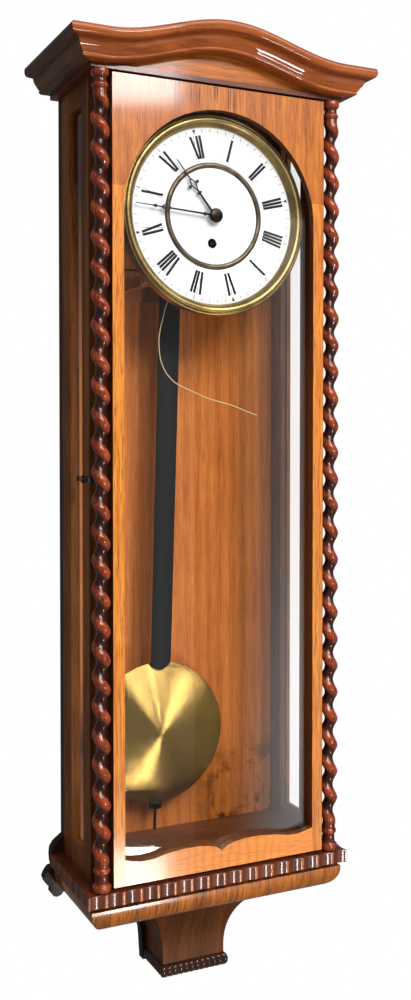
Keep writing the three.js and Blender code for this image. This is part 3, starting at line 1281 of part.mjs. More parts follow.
// Iron bracket: a flange on the backboard, two rails to the front, and a ledge on each for the plates.
function movementBracket() {
  const [outer, inner] = [bracketHalf, bracketHalf - bracket.rail];
  const top = -plate.bottom - fit.seat;
  const back = boardFront;
  const flange = block([-inner - bracket.rail / 2, inner + bracket.rail / 2], [back - bracket.flange, back],
    [-plate.bottom - bracket.flangeDown, -plate.bottom + bracket.flangeUp]);
  const pieces = [flange];
  for (const sign of [-1, 1]) {
    const railX = [sign * inner, sign * outer].sort((a, b) => a - b);
    const ledgeX = [sign * (plate.half - bracket.lap), sign * (inner + bracket.rail / 2)].sort((a, b) => a - b);
    pieces.push(block(railX, [-bracketReach, back], [top - bracket.railDrop, top]));
    pieces.push(block(ledgeX, [-bracketReach, -plateBack + bracket.ledgeBack], [top - bracket.ledge, top]));
  }
  add('movement_bracket', cut(join(...pieces), ...railHoles()), iron);
}

// Places of the screws in the rails' front ends.
const railPlaces = [-1, 1].map((sign) =>
  [sign * (bracketHalf - bracket.rail / 2), -plate.bottom - fit.seat - bracket.railDrop / 2]);

// A round-headed screw along Y, standing on a face, or its hole when there is a gap.
function roundScrew(x, z, face, gap) {
  const shank = bracket.screw * screwShares.shank + gap;
  const end = face + bracket.screwLong + gap;
  const seat = face - fit.seat;
  const r = bracket.screw;
  const head = gap > 0 ? [[shank, seat - fit.overrun], [0, seat - fit.overrun]]
    : [[shank, seat], [r, seat], [r * screwShares.crown, seat - r * screwShares.edge],
      [0, seat - r * screwShares.rise]];
  return turnedY([[0, end], [shank, end], ...head], 12).translate(x, 0, z);
}

const railHoles = () => railPlaces.map(([x, z]) => roundScrew(x, z, -bracketReach, fit.seat));

function bracketScrews() {
  const [left, right] = railPlaces.map(([x, z]) => roundScrew(x, z, -bracketReach, 0));
  add('rail_screw_left', left, steel);
  add('rail_screw_right', right, steel);
}

// Loose end of the gut line below the drum.
function gutLine() {
  const curve = new THREE.CatmullRomCurve3(gutRoute.map((point) => new THREE.Vector3(...point)));
  const section = shapeOf(circle(0, 0, gut.radius, 6));
  add('gut_line', new THREE.ExtrudeGeometry(section, { steps: 48, extrudePath: curve }), gutFinish);
}

backboard();
hangerPlate();
side(-1, 'left');
side(1, 'right');
floorBoard();
soffitBoard();
friezeBoard();
corniceFront();
corniceReturn(-1, 'left');
corniceReturn(1, 'right');
flutedBand();
ovoloBase();
pendantBlock();
pendantBead();
doorTopPanel();
doorStile(-1, 'left');
doorStile(1, 'right');
doorBottomRail();
doorPane();
twistColumn(-1, 'left');
twistColumn(1, 'right');
hinges();
latch();
movementBracket();
bracketScrews();
movementPlates();
suspensionCock();
dialParts();
bezelRing();
drumPart();
greatWheelPart();
centreWheelPart();
thirdWheelPart();
escapeWheelPart();
motionWork();
minuteHand();
hourHand();
handNut();
pendulumParts();
gutLine();

export default clock;
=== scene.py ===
# %% [markdown]
# # Regulator wall clock
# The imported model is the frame. It is in metres with +Z up, the wall is the plane y = 0, the clock stands
# out towards -Y, and z = 0 is the height of the dial's centre. This script gives the frame's nodes their
# finishes, and stands finer pieces in for the turned, moulded and painted ones.

# %% Frame
import bpy
import bmesh
import math
from mathutils import Matrix, Vector


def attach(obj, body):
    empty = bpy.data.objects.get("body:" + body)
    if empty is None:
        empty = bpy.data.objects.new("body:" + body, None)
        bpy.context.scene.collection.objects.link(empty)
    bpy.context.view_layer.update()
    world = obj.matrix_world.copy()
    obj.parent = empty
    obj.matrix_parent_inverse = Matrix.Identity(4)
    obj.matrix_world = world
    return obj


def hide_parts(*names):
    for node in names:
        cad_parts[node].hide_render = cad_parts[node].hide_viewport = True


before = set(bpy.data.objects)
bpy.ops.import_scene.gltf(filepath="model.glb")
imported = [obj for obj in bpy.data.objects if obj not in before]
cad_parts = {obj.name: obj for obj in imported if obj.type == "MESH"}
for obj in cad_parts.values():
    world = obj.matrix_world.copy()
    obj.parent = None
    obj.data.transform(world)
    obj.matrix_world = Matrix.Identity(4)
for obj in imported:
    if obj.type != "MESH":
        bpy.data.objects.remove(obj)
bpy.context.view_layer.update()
MM = 0.001


def add_object(name, data):
    """Makes an object and puts it in the scene."""
    made = bpy.data.objects.new(name, data)
    bpy.context.collection.objects.link(made)
    return made


# %% [markdown]
# ## Camera
# A camera is a lens, a sensor and a place. This one stands left of the clock, a little above the middle of
# its case, and looks slightly down. The picture is also shifted down, which frames the whole clock and lets
# its upright edges stay nearly parallel.

# %% Camera
CAMERA_AT = (-0.4649, -1.0593, -0.1970)
TURN, DOWN = math.radians(25.42), math.radians(1.534)
LENS = {"lens": 40.457, "sensor_width": 36.0, "shift_x": -0.0001, "shift_y": -0.0448, "clip_start": 0.05}

eye = bpy.data.cameras.new("camera")
for setting, value in LENS.items():
    setattr(eye, setting, value)
camera = add_object("camera", eye)
ahead = Vector((math.sin(TURN) * math.cos(DOWN), math.cos(TURN) * math.cos(DOWN), -math.sin(DOWN)))
camera.location = CAMERA_AT
camera.rotation_euler = ahead.to_track_quat("-Z", "Y").to_euler()
bpy.context.scene.camera = camera
bpy.context.scene.view_settings.view_transform = "Standard"
print("camera at", CAMERA_AT)

# %% [markdown]
# ## Gut line
# The line hangs off the winding drum and curls down inside the case: stiff gut keeps the curl of the drum.
# A poly curve with a round bevel makes a tube. It is then turned into a mesh, so that its box is exact.

# %% Gut line
GUT_ROUTE = [
    (-17.5, -77, -27), (-18.3, -76.8, -38), (-22, -76.2, -52), (-29.5, -75.2, -67), (-37.6, -74, -81.8),
    (-41.1, -73.1, -94.9), (-44, -72.3, -107.5), (-44.7, -71.4, -119.1), (-42.8, -70.6, -133.6),
    (-37.7, -69.7, -145.1), (-30.9, -68.9, -152.7), (-24.1, -68, -157.5), (-15.1, -67.1, -161.3),
    (-3.8, -66.3, -165.6), (8.7, -65.4, -170.4), (21.4, -64.6, -173.7), (37.5, -63.7, -177.6),
    (52.8, -62.9, -183), (65.9, -62, -187.1),
]
GUT_DIAMETER, GUT_STEPS = 1.1, 6


def smooth_route(points, steps):
    """Points of a smooth curve through the given ones, with some steps between each two of them."""
    ends = [2 * points[0] - points[1], *points, 2 * points[-1] - points[-2]]
    out = []
    for a, b, c, d in zip(ends, ends[1:], ends[2:], ends[3:]):
        for i in range(steps):
            t = i / steps
            out.append(0.5 * (2 * b + (c - a) * t + (2 * a - 5 * b + 4 * c - d) * t * t
                              + (3 * b - a - 3 * c + d) * t * t * t))
    return out + [points[-1]]


gut_path = smooth_route([Vector(point) * MM for point in GUT_ROUTE], GUT_STEPS)
gut_curve = bpy.data.curves.new("gut_curve", "CURVE")
gut_curve.dimensions = "3D"
gut_curve.bevel_depth = GUT_DIAMETER / 2 * MM
gut_curve.bevel_resolution = 3
gut_curve.use_fill_caps = True
spline = gut_curve.splines.new("POLY")
spline.points.add(len(gut_path) - 1)
for point, place in zip(spline.points, gut_path):
    point.co = (*place, 1)
gut_draft = add_object("gut_draft", gut_curve)
gut_mesh = bpy.data.meshes.new_from_object(gut_draft.evaluated_get(bpy.context.evaluated_depsgraph_get()))
bpy.data.objects.remove(gut_draft)
gut_line = add_object("gut_line_loose", gut_mesh)
gut_length = sum((b - a).length for a, b in zip(gut_path, gut_path[1:]))
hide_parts("gut_line")
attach(gut_line, "case")
print("gut line", round(gut_length, 4), "m in", len(gut_mesh.polygons), "faces")

# %% [markdown]
# ## Shader arithmetic
# Textures here are formulas. A Sock is one output of a shader node, and adding, subtracting, multiplying or
# dividing Socks adds the Math or Vector Math node that does it. A Bench holds one node tree, and its method
# node adds any other kind of node. A Finish is the Bench of one material.

# %% Shader helper


class Sock:
    """One output of a node. Socks, numbers and tuples may stand on either side of + - * /."""

    def __init__(self, bench, out):
        self.bench, self.out = bench, out

    def combine(self, kind, first, second):
        wide = any(isinstance(side, tuple) or isinstance(side, Sock) and side.out.type in ("VECTOR", "RGBA")
                   for side in (first, second))
        return self.bench.node("ShaderNodeVectorMath" if wide else "ShaderNodeMath", {"operation": kind},
                               {0: first, 1: second})

    def __add__(self, other):
        return self.combine("ADD", self, other)

    def __sub__(self, other):
        return self.combine("SUBTRACT", self, other)

    def __rsub__(self, other):
        return self.combine("SUBTRACT", other, self)

    def __mul__(self, other):
        return self.combine("MULTIPLY", self, other)

    def __truediv__(self, other):
        return self.combine("DIVIDE", self, other)

    def __rtruediv__(self, other):
        return self.combine("DIVIDE", other, self)

    __radd__, __rmul__ = __add__, __mul__

    def math(self, kind, other=0.0):
        return self.bench.node("ShaderNodeMath", {"operation": kind}, {0: self, 1: other})

    def rise(self, low, high):
        """A smooth step: 0 below low, 1 above high. Where low is the larger, it falls instead."""
        return self.bench.node("ShaderNodeMapRange", {"interpolation_type": "SMOOTHSTEP"},
                               {"Value": self, "From Min": low, "From Max": high})


class Bench:
    """A node tree, and the method that adds a node with its settings and the values of its sockets."""

    def __init__(self, tree):
        self.tree = tree

    def node(self, kind, settings=None, sockets=None, out=0):
        made = self.tree.nodes.new(kind)
        for name, value in (settings or {}).items():
            setattr(made, name, value)
        for name, value in (sockets or {}).items():
            self.plug(made.inputs[name], value)
        return Sock(self, made.outputs[out]) if made.outputs else None

    def plug(self, socket, value):
        if isinstance(value, Sock):
            self.tree.links.new(value.out, socket)
        elif socket.type == "RGBA" and isinstance(value, tuple) and len(value) == 3:
            socket.default_value = (*value, 1)
        elif socket.type in ("VECTOR", "RGBA") and not isinstance(value, tuple):
            socket.default_value = (value,) * len(socket.default_value)
        else:
            socket.default_value = value


finishes = {}


class Finish(Bench):
    """A finish in the making: the shader, its place on the object, and the patterns it is mixed from."""

    SOCKETS = {"color": "Base Color", "rough": "Roughness", "metal": "Metallic", "coat": "Coat Weight",
               "coat_rough": "Coat Roughness", "alpha": "Alpha", "spec": "Specular IOR Level",
               "normal": "Normal", "glow": "Emission Color", "glow_level": "Emission Strength"}

    def __init__(self, name):
        self.material = bpy.data.materials.new(name)
        self.material.use_nodes = True
        finishes[name] = self.material
        super().__init__(self.material.node_tree)
        self.shader = self.tree.nodes["Principled BSDF"]
        self.place = self.node("ShaderNodeTexCoord", out="Object")

    def noise(self, place, scale, detail=3.0, rough=0.5, warp=0.0):
        return self.node("ShaderNodeTexNoise", None, {"Vector": place, "Scale": scale, "Detail": detail,
                                                      "Roughness": rough, "Distortion": warp}, "Fac")

    def wave(self, place, scale, warp, detail, fine, direction):
        return self.node("ShaderNodeTexWave", {"bands_direction": direction},
                         {"Vector": place, "Scale": scale, "Distortion": warp, "Detail": detail,
                          "Detail Scale": fine}, "Fac")

    def mix(self, share, first, second):
        return self.node("ShaderNodeMix", {"data_type": "RGBA"}, {0: share, 6: first, 7: second}, 2)

    def split(self):
        """The x, y and z of the place on the object."""
        made = self.node("ShaderNodeSeparateXYZ", None, {0: self.place}).out.node
        return [Sock(self, out) for out in made.outputs]

    def join(self, x, y, z):
        return self.node("ShaderNodeCombineXYZ", None, {0: x, 1: y, 2: z})

    def put(self, **sockets):
        for name, value in sockets.items():
            self.plug(self.shader.inputs[self.SOCKETS[name]], value)

    def bump(self, height, strength, distance):
        self.put(normal=self.node("ShaderNodeBump", None,
                                  {"Strength": strength, "Distance": distance, "Height": height}))


def white_to_camera(made):
    """The camera sees plain white here, and all other rays see the finish itself."""
    white = made.node("ShaderNodeEmission", None, {"Color": WHITE, "Strength": 1.0})
    seen = made.node("ShaderNodeLightPath", out="Is Camera Ray")
    both = made.node("ShaderNodeMixShader", None, {0: seen, 1: Sock(made, made.shader.outputs[0]), 2: white})
    made.plug(made.tree.nodes["Material Output"].inputs["Surface"], both)


def tone(red, green, blue):
    """A colour as a paint chart gives it, 0 to 255, turned into the linear light that shaders use."""
    parts = [value / 255 for value in (red, green, blue)]
    return tuple(part / 12.92 if part <= 0.04045 else ((part + 0.055) / 1.055) ** 2.4 for part in parts)


WHITE, BLACK = (1.0, 1.0, 1.0), (0.0, 0.0, 0.0)
print("shader helper ready, mid grey is", round(tone(128, 128, 128)[0], 3))

# %% [markdown]
# ## Floor and room
# The floor lies well below the clock. It is grey, so that little light comes from below, and white to the
# camera. The room is the world shader: rays that come from the camera or pass through something see plain
# white, mirrored rays see a dim room, and everything else gives an even light.

# %% Floor and room
FLOOR_AT, FLOOR_HALF = (0, -0.4, -1.45), (1.3, 1.3)
ROOM = {"seen": (WHITE, 1.0), "lit": ((0.96, 0.98, 1.0), 0.38), "mirrored": ((0.95, 0.97, 1.0), 0.16)}


def lay_sheet(name, half, tilt, place, made):
    """A flat sheet that belongs to the room. It is white to the camera."""
    bm = bmesh.new()
    bmesh.ops.create_grid(bm, x_segments=2, y_segments=2, size=1.0)
    bmesh.ops.scale(bm, verts=bm.verts, vec=(*half, 1))
    bmesh.ops.rotate(bm, verts=bm.verts, cent=(0, 0, 0), matrix=Matrix.Rotation(math.radians(tilt), 3, "X"))
    bmesh.ops.translate(bm, verts=bm.verts, vec=place)
    mesh = bpy.data.meshes.new(name)
    bm.to_mesh(mesh)
    bm.free()
    white_to_camera(made)
    mesh.materials.append(made.material)
    sheet = add_object(name, mesh)


floor_paint = Finish("floor_grey")
floor_paint.put(color=tone(140, 138, 134), rough=0.7)
lay_sheet("floor", FLOOR_HALF, 0, FLOOR_AT, floor_paint)

world = bpy.data.worlds.new("room")
world.use_nodes = True
world.node_tree.nodes.clear()
room = Bench(world.node_tree)
light = {name: room.node("ShaderNodeBackground", None, {"Color": colour, "Strength": level})
         for name, (colour, level) in ROOM.items()}
mirrored = room.node("ShaderNodeLightPath", out="Is Glossy Ray")
passed = room.node("ShaderNodeLightPath", out="Is Camera Ray").math(
    "MAXIMUM", room.node("ShaderNodeLightPath", out="Is Transmission Ray"))
inner = room.node("ShaderNodeMixShader", None, {0: mirrored, 1: light["lit"], 2: light["mirrored"]})
outer = room.node("ShaderNodeMixShader", None, {0: passed, 1: inner, 2: light["seen"]})
room.node("ShaderNodeOutputWorld", None, {"Surface": outer})
bpy.context.scene.world = world
print("room", ROOM)

# %% [markdown]
# ## Lamps
# The soft key lamp stands high on the right, behind the camera, so that the case's left side stays in shade.
# A smaller soft lamp stands high in the middle. Two small ones are the bright windows that the polish mirrors,
# at the top of the door and on its bottom rail. The pane mirrors a dim upright card as a haze. The card's glow
# fades out towards its left edge, and to one half towards its top.

# %% Lamps
LAMPS = {
    "soft_key": {"at": (0.85, -1.95, 1.45), "to": (0, -0.1, -0.15), "size": (1.4, 1.4), "power": 41},
    "soft_fill": {"at": (-0.1, -2.3, 1.05), "to": (0, -0.1, -0.4), "size": (0.8, 0.8), "power": 28.5},
    "upper_window": {"at": (0.47, -1.468, 0.575), "to": (-0.08, -0.118, 0.1), "size": (0.17, 0.13),
                     "power": 3.6},
    "lower_window": {"at": (0.44, -1.46, -1.273), "to": (-0.08, -0.118, -0.6), "size": (0.15, 0.26),
                     "power": 8.0},
}
CARD_AT, CARD_HALF, CARD_GLOW = (1.25, -2.0, -0.6), (0.4, 1.0), 2.1
CARD_FADE_X, CARD_FADE_Z = (0.94, 1.22), (-0.3, -1.1)

for name, lamp in LAMPS.items():
    data = bpy.data.lights.new(name, "AREA")
    data.shape = "RECTANGLE"
    data.size, data.size_y = lamp["size"]
    data.energy = lamp["power"]
    hung = add_object(name, data)
    hung.location = lamp["at"]
    aim = Vector(lamp["to"]) - Vector(lamp["at"])
    hung.rotation_euler = aim.to_track_quat("-Z", "Y").to_euler()

haze = Finish("haze_glow")
x, _, z = haze.split()
share = x.rise(*CARD_FADE_X) * (0.5 + 0.5 * z.rise(*CARD_FADE_Z))
haze.put(color=BLACK, glow=haze.mix(share, BLACK, tone(250, 248, 246)), glow_level=CARD_GLOW)
lay_sheet("haze_card", CARD_HALF, 90, CARD_AT, haze)
print("lamps", list(LAMPS), "and a card")

# %% [markdown]
# ## Wood
# Polished wood is a pattern under a thin clear film. The pattern is stretched along the grain: broad bands,
# long streaks, a wavy figure and short dark pores. The film is the shader's coat. One function makes every
# wood of the case, and its calls say how each one differs. Some woods also have a mask with a colour: real
# splits, arcs and dirt on some, darker hollows on the columns, and painted shade and a painted highlight on
# others. Some woods are darker copies of another one, as painted shade.

# %% Wood
# For each grain: what the place is multiplied by on each axis, where 0.05 draws the pattern out twenty times,
# and the axis that crosses the figure's bands.
GRAIN = {"x": ((0.05, 1, 1), "Z"), "y": ((1, 0.05, 1), "Z"), "z": ((1, 1, 0.05), "X"),
         "round": ((1, 0.05, 0.05), "X")}
# The scale of each pattern, per metre.
BROAD, STREAK, RING, BLOTCH, PORE = 30, 330, 20, 9, 1150
# The columns' axis, in millimetres.
COLUMN_X, COLUMN_Y = 119.2, -114.0
# The centre of the rail's arcs in metres, how much they are squashed upright, and the radians in a metre.
ARC_CENTRE, ARC_SQUASH, ARC_WAVES = (-0.085, -0.6), 0.6, 700
# Pairs in metres: where a mask begins, and where it has its full strength. BASE_END, BOARD_SIDE, BOARD_FOOT
# and VENEER_BACK bound painted shade, and FLUTE_LAND bounds a painted highlight.
TWIST_HOLLOW = (0.0075, 0.0053)
BASE_END = (0.1315, 0.1345)
FLUTE_LAND = (-0.12302, -0.12334)
BOARD_SIDE, BOARD_FOOT = (0.1196, 0.1206), (-0.6175, -0.62)
CORNER_X, CORNER_Y, CORNER_Z = (0.0, 0.07), (-0.003, -0.006), (-0.5, -0.58)
VENEER_BACK = (-0.1178, -0.1174)
ARC_LEFT, ARC_RIGHT = (-0.07, -0.03), (0.09, 0.04)
CRACK_TOP, CRACK_LEFT, CRACK_RIGHT = (0.085, 0.104), (-0.075, -0.05), (0.03, 0.0)


def wood(name, light, dark, grain, streaks, figure, pores, rough, coat, spec=0.2, film=0.1, size=1.0,
         marks_and_painted_light=None):
    """A polished wood between two tones. Its last argument gives a mask and the colour that it brings in."""
    made, light, dark = Finish(name), tone(*light), tone(*dark)
    along, bands = GRAIN[grain]
    fibre = made.place * along
    broad = made.noise(fibre, BROAD / size, 2, 0.5, 0.5)
    streak = made.noise(fibre, STREAK / size, 3, 0.6, 0.3)
    ring = made.wave(fibre, RING / size, 6.0, 2.0, 1.2, bands)
    blotch = made.noise(made.place, BLOTCH, 2, 0.5)
    shade = ((broad - 0.5) * 1.1 + (streak - 0.5) * (1.8 * streaks) + (ring - 0.5) * figure
             + (blotch - 0.5) * 0.7)
    base = made.mix(shade + 0.5, dark, light)
    pore = made.noise(fibre, PORE, 2, 0.55).rise(0.53, 0.66) * pores
    base = made.mix(pore, base, tuple(0.3 * value for value in dark))
    if marks_and_painted_light:
        mask, colour = marks_and_painted_light(made)
        base = made.mix(mask, base, colour)
    made.put(color=base, rough=rough + 0.1 * streak, coat=coat, coat_rough=film, spec=spec)
    made.bump(streak * 0.5 - pore * 0.7, 0.3, 0.0003)


def darker_hollows(made):
    """The twist's hollows, near the column's axis, are darker."""
    x, y, _ = made.split()
    aside = x.math("ABSOLUTE") - COLUMN_X * MM
    forward = y - COLUMN_Y * MM
    out = (aside * aside + forward * forward).math("SQRT")
    return out.rise(*TWIST_HOLLOW) * 0.9, tone(30, 11, 7)


def ends_painted_shade(made):
    """Painted shade: the base's ends are darker than its front."""
    return made.split()[0].math("ABSOLUTE").rise(*BASE_END) * 0.75, tone(44, 26, 16)


def arris_painted_highlight(made):
    """Painted highlight: the thin edges between the flutes are pale."""
    return made.split()[1].rise(*FLUTE_LAND) * 0.5, tone(206, 128, 80)


def board_painted_shade_and_dirt(made):
    """Painted shade: outside the case and low down behind the base the backboard is black. Dirt has settled in
    its lower right corner.
    """
    x, y, z = made.split()
    side = x.math("ABSOLUTE").rise(*BOARD_SIDE)
    low = z.rise(*BOARD_FOOT)
    specks = made.noise(made.place, 38, 4, 0.65, 0.5).rise(0.48, 0.66)
    dirt = specks * x.rise(*CORNER_X) * z.rise(*CORNER_Z) * y.rise(*CORNER_Y)
    return side.math("MAXIMUM", low).math("MAXIMUM", dirt) * 0.97, tone(14, 11, 9)


def door_edge_painted_shade(made):
    """Painted shade: behind the veneer of its front the door is dark, for the shade in the gaps around its
    edges.
    """
    return made.split()[1].rise(*VENEER_BACK) * 0.95, tone(74, 38, 22)


def rail_arcs_and_edge_shade(made):
    """The door's painted edge shade, and the arcs that a flat-sawn board shows in the middle of the rail."""
    x, _, z = made.split()
    across, up = x - ARC_CENTRE[0], (z - ARC_CENTRE[1]) * ARC_SQUASH
    reach = (across * across + up * up).math("SQRT") + made.noise(made.place, 34, 2) * 0.014
    arcs = (reach * ARC_WAVES).math("SINE").rise(-0.3, 1.0) * x.rise(*ARC_LEFT) * x.rise(*ARC_RIGHT) * 0.3
    edge_shade, colour = door_edge_painted_shade(made)
    return edge_shade.math("MAXIMUM", arcs), made.mix(edge_shade, tone(178, 88, 26), colour)


def panel_cracks_and_edge_shade(made):
    """The door's painted edge shade, and short dark splits that run down from the top edge of the door's
    veneer.
    """
    x, _, z = made.split()
    lines = made.noise(made.place * (1, 1, 0.05), 520, 1, 0.4).rise(0.58, 0.64)
    high = z.rise(*CRACK_TOP)
    near = x.rise(*CRACK_LEFT) * x.rise(*CRACK_RIGHT)
    edge_shade, colour = door_edge_painted_shade(made)
    return edge_shade.math("MAXIMUM", lines * high * (0.2 + 0.7 * near)), colour


# After the two tones come the grain, then the strength of streaks, figure and pores, then roughness and coat.
wood("panel_veneer", (198, 116, 42), (148, 74, 24), "z", 1.2, 0.25, 0.5, 0.3, 0.35, film=0.08,
     marks_and_painted_light=panel_cracks_and_edge_shade)
wood("stile_veneer", (222, 140, 54), (182, 96, 30), "z", 1.4, 0.2, 0.6, 0.32, 0.3, marks_and_painted_light=door_edge_painted_shade)
wood("rail_veneer", (232, 142, 54), (206, 114, 38), "x", 0.4, 0.2, 0.35, 0.3, 0.35, size=1.6,
     marks_and_painted_light=rail_arcs_and_edge_shade)
wood("frieze_veneer", (198, 114, 42), (150, 76, 24), "x", 1.1, 0.3, 0.5, 0.36, 0.16, spec=0.15)
wood("ovolo_veneer", (200, 114, 36), (104, 50, 14), "round", 1.2, 0.0, 0.55, 0.28, 0.4,
     film=0.12, size=0.55, marks_and_painted_light=ends_painted_shade)
# The pendant's wood is darker than the block above it: painted shade under the block.
wood("scotia_veneer_painted_shade", (114, 62, 22), (66, 34, 12), "round", 0.7, 0.0, 0.3, 0.42, 0.1, spec=0.1,
     size=0.55)
wood("cornice_wood", (172, 90, 36), (116, 54, 20), "x", 0.9, 0.2, 0.3, 0.42, 0.4, spec=0.1, film=0.03,
     size=1.2)
# The cornice's returns and the soffit board are darker than the cornice's front: painted shade.
wood("return_wood_painted_shade", (112, 66, 36), (56, 32, 18), "y", 1.0, 0.3, 0.3, 0.36, 0.2)
wood("soffit_wood_painted_shade", (112, 54, 30), (66, 30, 18), "x", 1.0, 0.2, 0.3, 0.3, 0.2)
wood("column_wood", (176, 76, 36), (88, 32, 16), "z", 1.2, 0.2, 0.8, 0.18, 0.5, film=0.03,
     size=0.6, marks_and_painted_light=darker_hollows)
wood("band_wood", (112, 52, 28), (66, 30, 16), "z", 1.0, 0.2, 0.3, 0.3, 0.32, spec=0.15, film=0.05,
     marks_and_painted_light=arris_painted_highlight)
wood("bead_wood", (70, 38, 24), (36, 20, 13), "x", 1.0, 0.2, 0.3, 0.2, 0.4, film=0.08)
wood("side_wood", (140, 82, 36), (78, 40, 16), "z", 1.2, 0.4, 0.4, 0.5, 0.05, spec=0.1)
wood("back_wood", (218, 132, 60), (176, 94, 38), "z", 0.8, 0.35, 0.3, 0.46, 0.06, spec=0.15, size=0.8,
     marks_and_painted_light=board_painted_shade_and_dirt)
wood("inside_wood", (124, 74, 42), (74, 42, 24), "x", 1.0, 0.3, 0.4, 0.4, 0.12)
wood("plain_wood", (150, 106, 70), (104, 68, 42), "x", 1.0, 0.3, 0.4, 0.55, 0.0)
print("woods made, finishes", len(finishes))

# %% [markdown]
# ## Metal
# Old brass is not one colour: it is browner where the polishing cloth missed it, and its scratches widen the
# highlights. Steel and iron parts share the same recipe with other tones.

# %% Metal
# In metres: where the arbor's steel begins, and where it is all steel.
ARBOR_FRONT = (-0.09, -0.0905)


def metal(name, bright, stained, rough, patches=18.0, full=1.0, marks_and_painted_light=None):
    """A worn metal. patches is the scale of its stains, and full is 1, or less where it is painted."""
    made = Finish(name)
    patch = made.noise(made.place, patches, 4, 0.6, 0.4)
    scratch = made.noise(made.place * (1, 0.1, 1), 900, 2, 0.5)
    base = made.mix(patch.rise(0.35, 0.72), tone(*bright), tone(*stained))
    if marks_and_painted_light:
        mask, colour = marks_and_painted_light(made)
        base = made.mix(mask, base, colour)
    made.put(color=base, rough=rough + 0.16 * patch + 0.1 * scratch, metal=full)
    made.bump(scratch, 0.06, 0.0002)


def arbor_end(made):
    """In front of the plates the winding arbor is dark steel."""
    return made.split()[1].rise(*ARBOR_FRONT), tone(40, 36, 34)


metal("brass", (196, 164, 92), (150, 116, 62), 0.24)
metal("drum_brass", (196, 164, 92), (150, 116, 62), 0.24, marks_and_painted_light=arbor_end)
metal("bezel_brass", (182, 156, 98), (124, 102, 60), 0.22, 30)
metal("ring_brass", (106, 92, 74), (60, 50, 42), 0.24, 60)
metal("nut_brass", (62, 52, 42), (26, 22, 20), 0.2, 90)
metal("blued_steel", (48, 50, 58), (30, 28, 30), 0.3, 80)
metal("bright_steel", (176, 176, 178), (140, 138, 134), 0.28, 60)
metal("iron", (38, 38, 38), (54, 48, 44), 0.4, 60, 0.6)
metal("brown_iron", (186, 108, 56), (150, 84, 42), 0.55, 60, 0.1)
print("metals made, finishes", len(finishes))

# %% [markdown]
# ## Enamel, ink, lacquer and glass
# Enamel is a white glass skin, so it is smooth with a faint cloudiness. A pane is mostly nothing: its
# alpha is small where it is seen face on and grows towards its edge-on view. That leaves only the mirrored
# part of the light and lets the rest by. The painted rod has the faint streaks of its brush, and gut is a
# twisted, yellowed string.

# %% Enamel, ink, lacquer and glass
PANE_FACE_ON, PANE_GAIN, PANE_POWER = 0.04, 0.95, 5.0


def ink(name, dark, pale):
    made = Finish(name)
    made.put(color=made.mix(made.noise(made.place, 220), tone(*dark), tone(*pale)), rough=0.5, spec=0.15)


ink("dial_ink", (5, 5, 16), (14, 14, 26))
ink("faint_ink", (84, 84, 94), (116, 116, 124))

made = Finish("enamel")
cloud = made.noise(made.place, 30, 3)
made.put(color=made.mix(cloud, tone(244, 244, 243), tone(234, 235, 234)), rough=0.1 + 0.05 * cloud, coat=0.4)
made.bump(cloud, 0.05, 0.0004)

made = Finish("black_lacquer")
fibre = made.noise(made.place * (1, 1, 0.04), 480, 4, 0.6)
made.put(color=made.mix(fibre, tone(8, 9, 10), tone(30, 31, 30)), rough=0.46 + 0.2 * fibre, coat=0.0,
         spec=0.2)
made.bump(fibre, 0.25, 0.0003)

made = Finish("pane_glass")
facing = made.node("ShaderNodeLayerWeight", None, {"Blend": 0.5}, "Facing")
made.put(color=tone(250, 252, 251), rough=0.02, metal=1.0,
         alpha=facing.math("POWER", PANE_POWER) * PANE_GAIN + PANE_FACE_ON)
made.bump(made.noise(made.place, 5, 1), 0.04, 0.002)

made = Finish("gut")
twist = made.noise(made.place, 900, 2)
made.put(color=made.mix(twist, tone(188, 168, 122), tone(226, 208, 164)), rough=0.4)
made.bump(twist, 0.1, 0.0002)
gut_mesh.materials.clear()
gut_mesh.materials.append(finishes["gut"])
print(len(finishes), "finishes")

# %% [markdown]
# ## Mesh tools
# A moulding is a loop of vertices that is repeated and bridged, a turned piece is half an outline that is
# spun, and a flat piece is a filled outline that is extruded. Lengths are millimetres here and metres in
# the mesh. Each piece is closed, its faces are turned outwards, and it rides on one body of the frame.

# %% Mesh tools
WELD = 1e-7


def loop(bm, places):
    """Joins a few vertices in a ring and gives the ring's edges."""
    verts = [bm.verts.new(Vector(place) * MM) for place in places]
    return [bm.edges.new(pair) for pair in zip(verts, verts[1:] + verts[:1])]


def ring(bm, centre, radius, sides):
    """A level circle of edges."""
    made = bmesh.ops.create_circle(bm, segments=sides, radius=radius * MM)["verts"]
    bmesh.ops.translate(bm, verts=made, vec=Vector(centre) * MM)
    return list({edge for vert in made for edge in vert.link_edges})


def bridge(bm, loops):
    """Skins loop after loop and closes both ends."""
    for low, high in zip(loops, loops[1:]):
        bmesh.ops.bridge_loops(bm, edges=low + high)
    for end in (loops[0], loops[-1]):
        bmesh.ops.holes_fill(bm, edges=end, sides=0)


def spun(bm, outline, sides, axis="Y", centre=(0, 0, 0), closed=False):
    """Spins pairs of radius and height round an axis."""
    up = Vector((0, 1, 0)) if axis == "Y" else Vector((0, 0, 1))
    middle = Vector(centre) * MM
    verts = [bm.verts.new(middle + Vector((r, 0, 0)) * MM + up * (h * MM)) for r, h in outline]
    ends = verts[1:] + (verts[:1] if closed else [])
    edges = [bm.edges.new(pair) for pair in zip(verts, ends)]
    bmesh.ops.spin(bm, geom=verts + edges, cent=middle, axis=up, dvec=(0, 0, 0), angle=math.tau,
                   steps=sides, use_merge=True)


